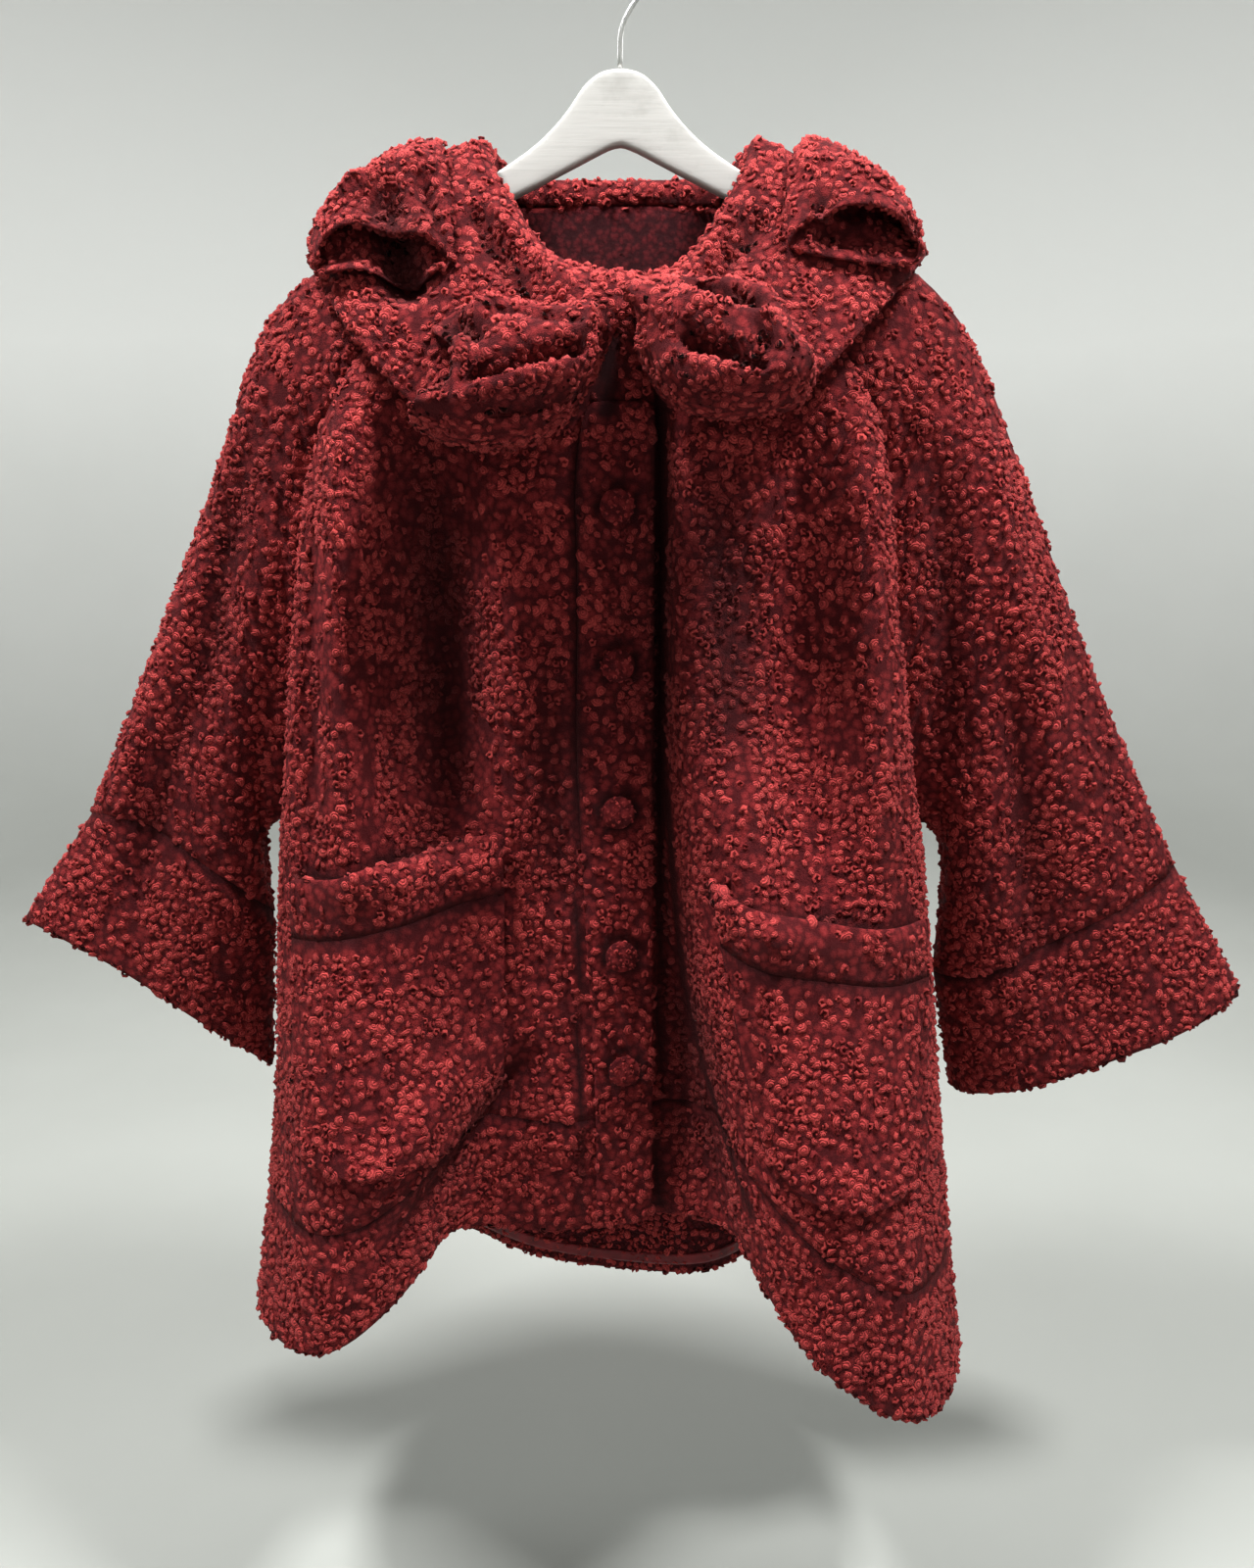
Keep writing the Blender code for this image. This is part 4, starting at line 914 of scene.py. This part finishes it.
def one_curl(tree, inputs, turns, start, end, height, points):
    """A spiral of yarn. start, end and height are shares of the curl's size."""

    def share(value, of):
        return add_node(
            tree, "ShaderNodeMath", {0: inputs[of], 1: value}, operation="MULTIPLY"
        ).outputs[0]

    path = add_node(
        tree,
        "GeometryNodeCurveSpiral",
        {
            "Resolution": points,
            "Rotations": turns,
            "Start Radius": share(start, "Curl size"),
            "End Radius": share(end, "Curl size"),
            "Height": share(height, "Curl size"),
        },
    )
    tube = add_node(
        tree,
        "GeometryNodeCurvePrimitiveCircle",
        {"Resolution": 3, "Radius": share(0.5, "Yarn thickness")},
    )
    body = add_node(
        tree,
        "GeometryNodeCurveToMesh",
        {"Curve": path.outputs[0], "Profile Curve": tube.outputs[0], "Fill Caps": True},
    )
    return add_node(tree, "GeometryNodeGeometryToInstance", {0: body.outputs[0]}).outputs[0]


def chance(tree, kind, low, high, seed):
    """A random value for each point, with its own seed."""
    node = add_node(tree, "FunctionNodeRandomValue", data_type=kind)
    numbered = {"FLOAT_VECTOR": (0, 1), "FLOAT": (2, 3), "INT": (4, 5)}[kind]
    node.inputs[numbered[0]].default_value = low
    node.inputs[numbered[1]].default_value = high
    node.inputs["Seed"].default_value = seed
    live = {"FLOAT_VECTOR": 0, "FLOAT": 1, "INT": 2}[kind]
    return node.outputs[live]


curl_tree = bpy.data.node_groups.new("curls of yarn", "GeometryNodeTree")
curl_tree.interface.new_socket(
    name="Geometry", in_out="INPUT", socket_type="NodeSocketGeometry"
)
curl_tree.interface.new_socket(
    name="Geometry", in_out="OUTPUT", socket_type="NodeSocketGeometry"
)
CURL_INPUTS = {
    name: group_input(curl_tree, name, kind, value)
    for name, kind, value in [
        ("Spacing", "Float", 5.55 * MM),
        ("Curl size", "Float", 2.8 * MM),
        ("Knot size", "Float", 4.6 * MM),
        ("Yarn thickness", "Float", 3.0 * MM),
        ("Seed", "Int", 1),
        ("Yarn", "Material", None),
    ]
}
given = add_node(curl_tree, "NodeGroupInput").outputs
marked = add_node(
    curl_tree, "GeometryNodeInputNamedAttribute", {0: "has_curls"}, data_type="BOOLEAN"
)
CANDIDATES = 9.0  # points tried on each square of the spacing
crowd = add_node(
    curl_tree, "ShaderNodeMath", {0: given["Spacing"], 1: -2.0}, operation="POWER"
).outputs[0]
places = add_node(
    curl_tree,
    "GeometryNodeDistributePointsOnFaces",
    {
        "Mesh": given["Geometry"],
        "Selection": marked.outputs[0],
        "Distance Min": given["Spacing"],
        "Density Max": add_node(
            curl_tree, "ShaderNodeMath", {0: crowd, 1: CANDIDATES}, operation="MULTIPLY"
        ).outputs[0],
        "Seed": given["Seed"],
    },
    distribute_method="POISSON",
)
KNOT_SUNK = -0.8 * MM  # a knot is part of the cloth, and not a bead that lies on it
KNOT_SHAPES = [(0.40, 1.15), (0.47, 0.92)]  # height and length, as shares of the width
kinds = add_node(curl_tree, "GeometryNodeJoinGeometry")
for flatness, length in KNOT_SHAPES:
    knot = add_node(
        curl_tree, "GeometryNodeMeshIcoSphere", {"Radius": given["Knot size"], "Subdivisions": 1}
    )
    spot = add_node(curl_tree, "GeometryNodeInputPosition").outputs[0]
    radii = add_node(
        curl_tree, "ShaderNodeCombineXYZ", {axis: given["Knot size"] for axis in range(3)}
    ).outputs[0]
    shares = add_node(
        curl_tree, "ShaderNodeVectorMath", {0: spot, 1: radii}, operation="DIVIDE"
    )
    wound = add_node(
        curl_tree,
        "GeometryNodeStoreNamedAttribute",
        {"Geometry": knot.outputs[0], "Name": "winding", "Value": shares.outputs[0]},
        data_type="FLOAT_VECTOR",
        domain="POINT",
    )
    pressed = add_node(
        curl_tree,
        "GeometryNodeTransform",
        {
            "Geometry": wound.outputs[0],
            "Scale": (length, 1.0, flatness),
            "Translation": (0.0, 0.0, KNOT_SUNK),
        },
    )
    single = add_node(curl_tree, "GeometryNodeGeometryToInstance", {0: pressed.outputs[0]})
    curl_tree.links.new(single.outputs[0], kinds.inputs[0])
open_curl = one_curl(
    curl_tree, given, turns=0.8, start=1.0, end=0.7, height=0.35, points=5
)
curl_tree.links.new(open_curl, kinds.inputs[0])
TIP, FULL_TURN = 0.65, 6.28  # radians that a copy leans either way, and turns on the cloth
SMALLEST, LARGEST = 0.70, 1.20
WOBBLE_WAVES, WOBBLE = 420.0, 3.2 * MM  # waves to the metre, and how far they push
tipped = add_node(
    curl_tree,
    "FunctionNodeEulerToRotation",
    {0: chance(curl_tree, "FLOAT_VECTOR", (-TIP, -TIP, 0.0), (TIP, TIP, FULL_TURN), 11)},
)
turned = add_node(
    curl_tree,
    "FunctionNodeRotateRotation",
    {0: places.outputs["Rotation"], 1: tipped.outputs[0]},
    rotation_space="LOCAL",
)
copies = add_node(
    curl_tree,
    "GeometryNodeInstanceOnPoints",
    {
        "Points": places.outputs["Points"],
        "Instance": kinds.outputs[0],
        "Pick Instance": True,
        "Instance Index": chance(curl_tree, "INT", 0, 2, 12),
        "Rotation": turned.outputs[0],
        "Scale": chance(curl_tree, "FLOAT", SMALLEST, LARGEST, 13),
    },
)
tinted = add_node(
    curl_tree,
    "GeometryNodeStoreNamedAttribute",
    {"Geometry": copies.outputs[0], "Name": "tint", "Value": chance(curl_tree, "FLOAT", 0, 1, 14)},
    data_type="FLOAT",
    domain="INSTANCE",
)
directed = add_node(
    curl_tree,
    "GeometryNodeStoreNamedAttribute",
    {"Geometry": tinted.outputs[0], "Name": "cloth_way", "Value": places.outputs["Normal"]},
    data_type="FLOAT_VECTOR",
    domain="INSTANCE",
)
real = add_node(curl_tree, "GeometryNodeRealizeInstances", {0: directed.outputs[0]})
wobble = add_node(curl_tree, "ShaderNodeTexNoise", {"Scale": WOBBLE_WAVES, "Detail": 1.0})
wobbled = add_node(
    curl_tree,
    "ShaderNodeVectorMath",
    {0: wobble.outputs["Color"], 1: (0.5, 0.5, 0.5)},
    operation="SUBTRACT",
)
pushed = add_node(
    curl_tree, "ShaderNodeVectorMath", {0: wobbled.outputs[0], 3: WOBBLE}, operation="SCALE"
)
bent = add_node(
    curl_tree,
    "GeometryNodeSetPosition",
    {"Geometry": real.outputs[0], "Offset": pushed.outputs[0]},
)
smooth = add_node(curl_tree, "GeometryNodeSetShadeSmooth", {0: bent.outputs[0]})
finished = add_node(
    curl_tree,
    "GeometryNodeSetMaterial",
    {"Geometry": smooth.outputs[0], "Material": given["Yarn"]},
)
curl_result = add_node(curl_tree, "NodeGroupOutput")
curl_tree.links.new(finished.outputs[0], curl_result.inputs[0])

# %% [markdown]
# The tree runs on each piece with a seed of its own, and the result becomes a mesh beside the
# cloth. The wool on a button is drawn tight over metal, so its loops are the smallest, and those
# of the gathered collar are a little smaller than those of the body.


# %% Grow the curls
def grow_curls(name, cloth_object, seed, **sizes):
    """The curls of one piece as a plain mesh object."""
    modifier = cloth_object.modifiers.new("curls", "NODES")
    modifier.node_group = curl_tree
    for key, value in {"Seed": seed, "Yarn": yarn, **sizes}.items():
        modifier[CURL_INPUTS[key]] = value
    shown = cloth_object.evaluated_get(bpy.context.evaluated_depsgraph_get())
    mesh = bpy.data.meshes.new_from_object(shown)
    cloth_object.modifiers.remove(modifier)
    return new_object(name, mesh)


BUTTON_CURLS = {
    "Spacing": 3.6 * MM,
    "Curl size": 1.5 * MM,
    "Knot size": 2.0 * MM,
    "Yarn thickness": 1.6 * MM,
}
COLLAR_CURLS = {"Spacing": 5.1 * MM, "Curl size": 2.6 * MM, "Knot size": 4.1 * MM}
curls = {}
for seed, (name, cloth_object) in enumerate(cloths.items()):
    sizes = BUTTON_CURLS if name.startswith("button") else {}
    if name.startswith(GATHERED):
        sizes = COLLAR_CURLS
    curls[name] = grow_curls(name + "_curls", cloth_object, seed + 1, **sizes)
    faces = curls[name].data
    faces.calc_loop_triangles()
    print(name, "curls:", len(faces.loop_triangles), "triangles")
print("all curls:", sum(len(o.data.loop_triangles) for o in curls.values()), "triangles")

# %% [markdown]
# A narrow strip of red satin finishes the raw edge inside the back hem. Satin is smooth along its
# threads, so its highlight is drawn out: the roughness is low, and fine noise stretched along the
# strip bends the light a little at each thread. A ripple shapes the bump, and the red follows it:
# painted darker in its troughs and lighter on its crests, as painted shade and light.

# %% Satin edge
satin, tree, shader, place = new_material("red satin")
threads = noise(tree, stretched(tree, place, (60.0, 900.0, 900.0)), 1.0, 2.0)
ripple = noise(tree, place, 70.0, 2.0)
# the red follows the ripple: painted shade in its troughs, painted light on its crests
tree.links.new(
    colour_ramp(tree, ripple, [(0.3, (0.07, 0.003, 0.005)), (0.7, (0.17, 0.007, 0.011))]),
    shader.inputs["Base Color"],
)
tree.links.new(between(tree, threads, 0.22, 0.42), shader.inputs["Roughness"])
shader.inputs["Anisotropic"].default_value = 0.5
shader.inputs["Specular IOR Level"].default_value = 0.15
shader.inputs["Sheen Weight"].default_value = 0.2
satin_height = scaled_plus(tree, ripple, 6.0, threads)
satin_bump = add_node(
    tree, "ShaderNodeBump", {"Strength": 0.5, "Distance": 0.0006, "Height": satin_height}
)
tree.links.new(satin_bump.outputs["Normal"], shader.inputs["Normal"])

lining_mesh = rounded(two_sided_copy("lining_edge"))
set_points(lining_mesh, creased(points_of(lining_mesh)))
for index in range(3):
    lining_mesh.materials[index] = satin
lining = new_object("lining_edge_satin", lining_mesh)

# %% [markdown]
# The hanger is flat wood with a thin coat of white paint. The grain still shows through as long
# shallow lines, and the paint is a little yellow and thin where hands have rubbed it. The hook is
# bright steel with faint drawing marks.

# %% White paint and steel
paint, tree, shader, place = new_material("white paint on wood")
grain = noise(tree, stretched(tree, place, (14.0, 260.0, 320.0)), 1.0, 4.0, 0.6)
dirt = noise(tree, place, 26.0, 4.0, 0.6)
tone = scaled_plus(tree, grain, 0.35, dirt)
tree.links.new(
    colour_ramp(tree, tone, [(0.35, (0.30, 0.295, 0.275)), (0.62, (0.41, 0.405, 0.385))]),
    shader.inputs["Base Color"],
)
tree.links.new(between(tree, dirt, 0.34, 0.58), shader.inputs["Roughness"])
paint_bump = add_node(
    tree, "ShaderNodeBump", {"Strength": 0.35, "Distance": 0.0004, "Height": grain}
)
tree.links.new(paint_bump.outputs["Normal"], shader.inputs["Normal"])

steel, tree, shader, place = new_material("hook steel")
marks = noise(tree, stretched(tree, place, (900.0, 900.0, 60.0)), 1.0, 3.0)
tree.links.new(
    colour_ramp(tree, marks, [(0.3, (0.55, 0.55, 0.54)), (0.7, (0.72, 0.72, 0.70))]),
    shader.inputs["Base Color"],
)
shader.inputs["Metallic"].default_value = 1.0
tree.links.new(between(tree, marks, 0.16, 0.34), shader.inputs["Roughness"])

HARD_EDGE = math.radians(50)
EDGE_CREASE = 0.7
hard_pieces = {}
for name, material, levels in [("hanger_wood", paint, 2), ("hanger_hook", steel, 1)]:
    plain = bmesh.new()
    plain.from_mesh(cad_nodes[name].data)
    bmesh.ops.remove_doubles(plain, verts=plain.verts, dist=0.01 * MM)
    sharp = plain.edges.layers.float.new("crease_edge")
    for edge in plain.edges:
        if edge.calc_face_angle(0) > HARD_EDGE:
            edge[sharp] = EDGE_CREASE
    for face in plain.faces:
        face.smooth = True
    smooth_mesh = bpy.data.meshes.new(name + " fine")
    plain.to_mesh(smooth_mesh)
    plain.free()
    fine = divided(smooth_mesh, levels)
    fine.materials.clear()
    fine.materials.append(material)
    hard_pieces[name] = new_object(name + "_fine", fine)

# %% [markdown]
# Last, every piece is tied to the frame: it rides on the coat's one body, the solid under it is
# hidden, and the name of its material slot is looked up.

# %% Material slots
SLOT_OF = [
    ("sleeve", "wool_sleeves"),
    ("pocket", "wool_pockets"),
    ("collar", "wool_collar"),
    ("puff", "wool_collar"),
    ("button", "buttons"),
    ("cuff", "wool_bands"),
    ("hem", "wool_bands"),
]


def slot_of(name):
    return next((slot for start, slot in SLOT_OF if name.startswith(start)), "wool_body")


# %% Tie the pieces to the frame
for name, cloth_object in cloths.items():
    for piece in (cloth_object, curls[name]):
        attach(piece, "root")
        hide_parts(name)
        slot_of(name)
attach(lining, "root")
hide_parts("lining_edge")
for name, slot in [("hanger_wood", "white_paint"), ("hanger_hook", "hook_steel")]:
    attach(hard_pieces[name], "root")
    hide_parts(name)

# %% [markdown]
# The bounds are measured again and kept beside the first ones. They show how far the yarn stands
# out from the solids.

# %% Measure and finish
low_after, high_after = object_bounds()
sizes = {
    "low_before": list(low_before),
    "high_before": list(high_before),
    "low_after": list(low_after),
    "high_after": list(high_after),
}
{key: [float(v) for v in value] for key, value in sizes.items()}
print("grown by, mm:", [round(float(v) / MM, 1) for v in (high_after - high_before)])
print("and below, mm:", [round(float(v) / MM, 1) for v in (low_after - low_before)])
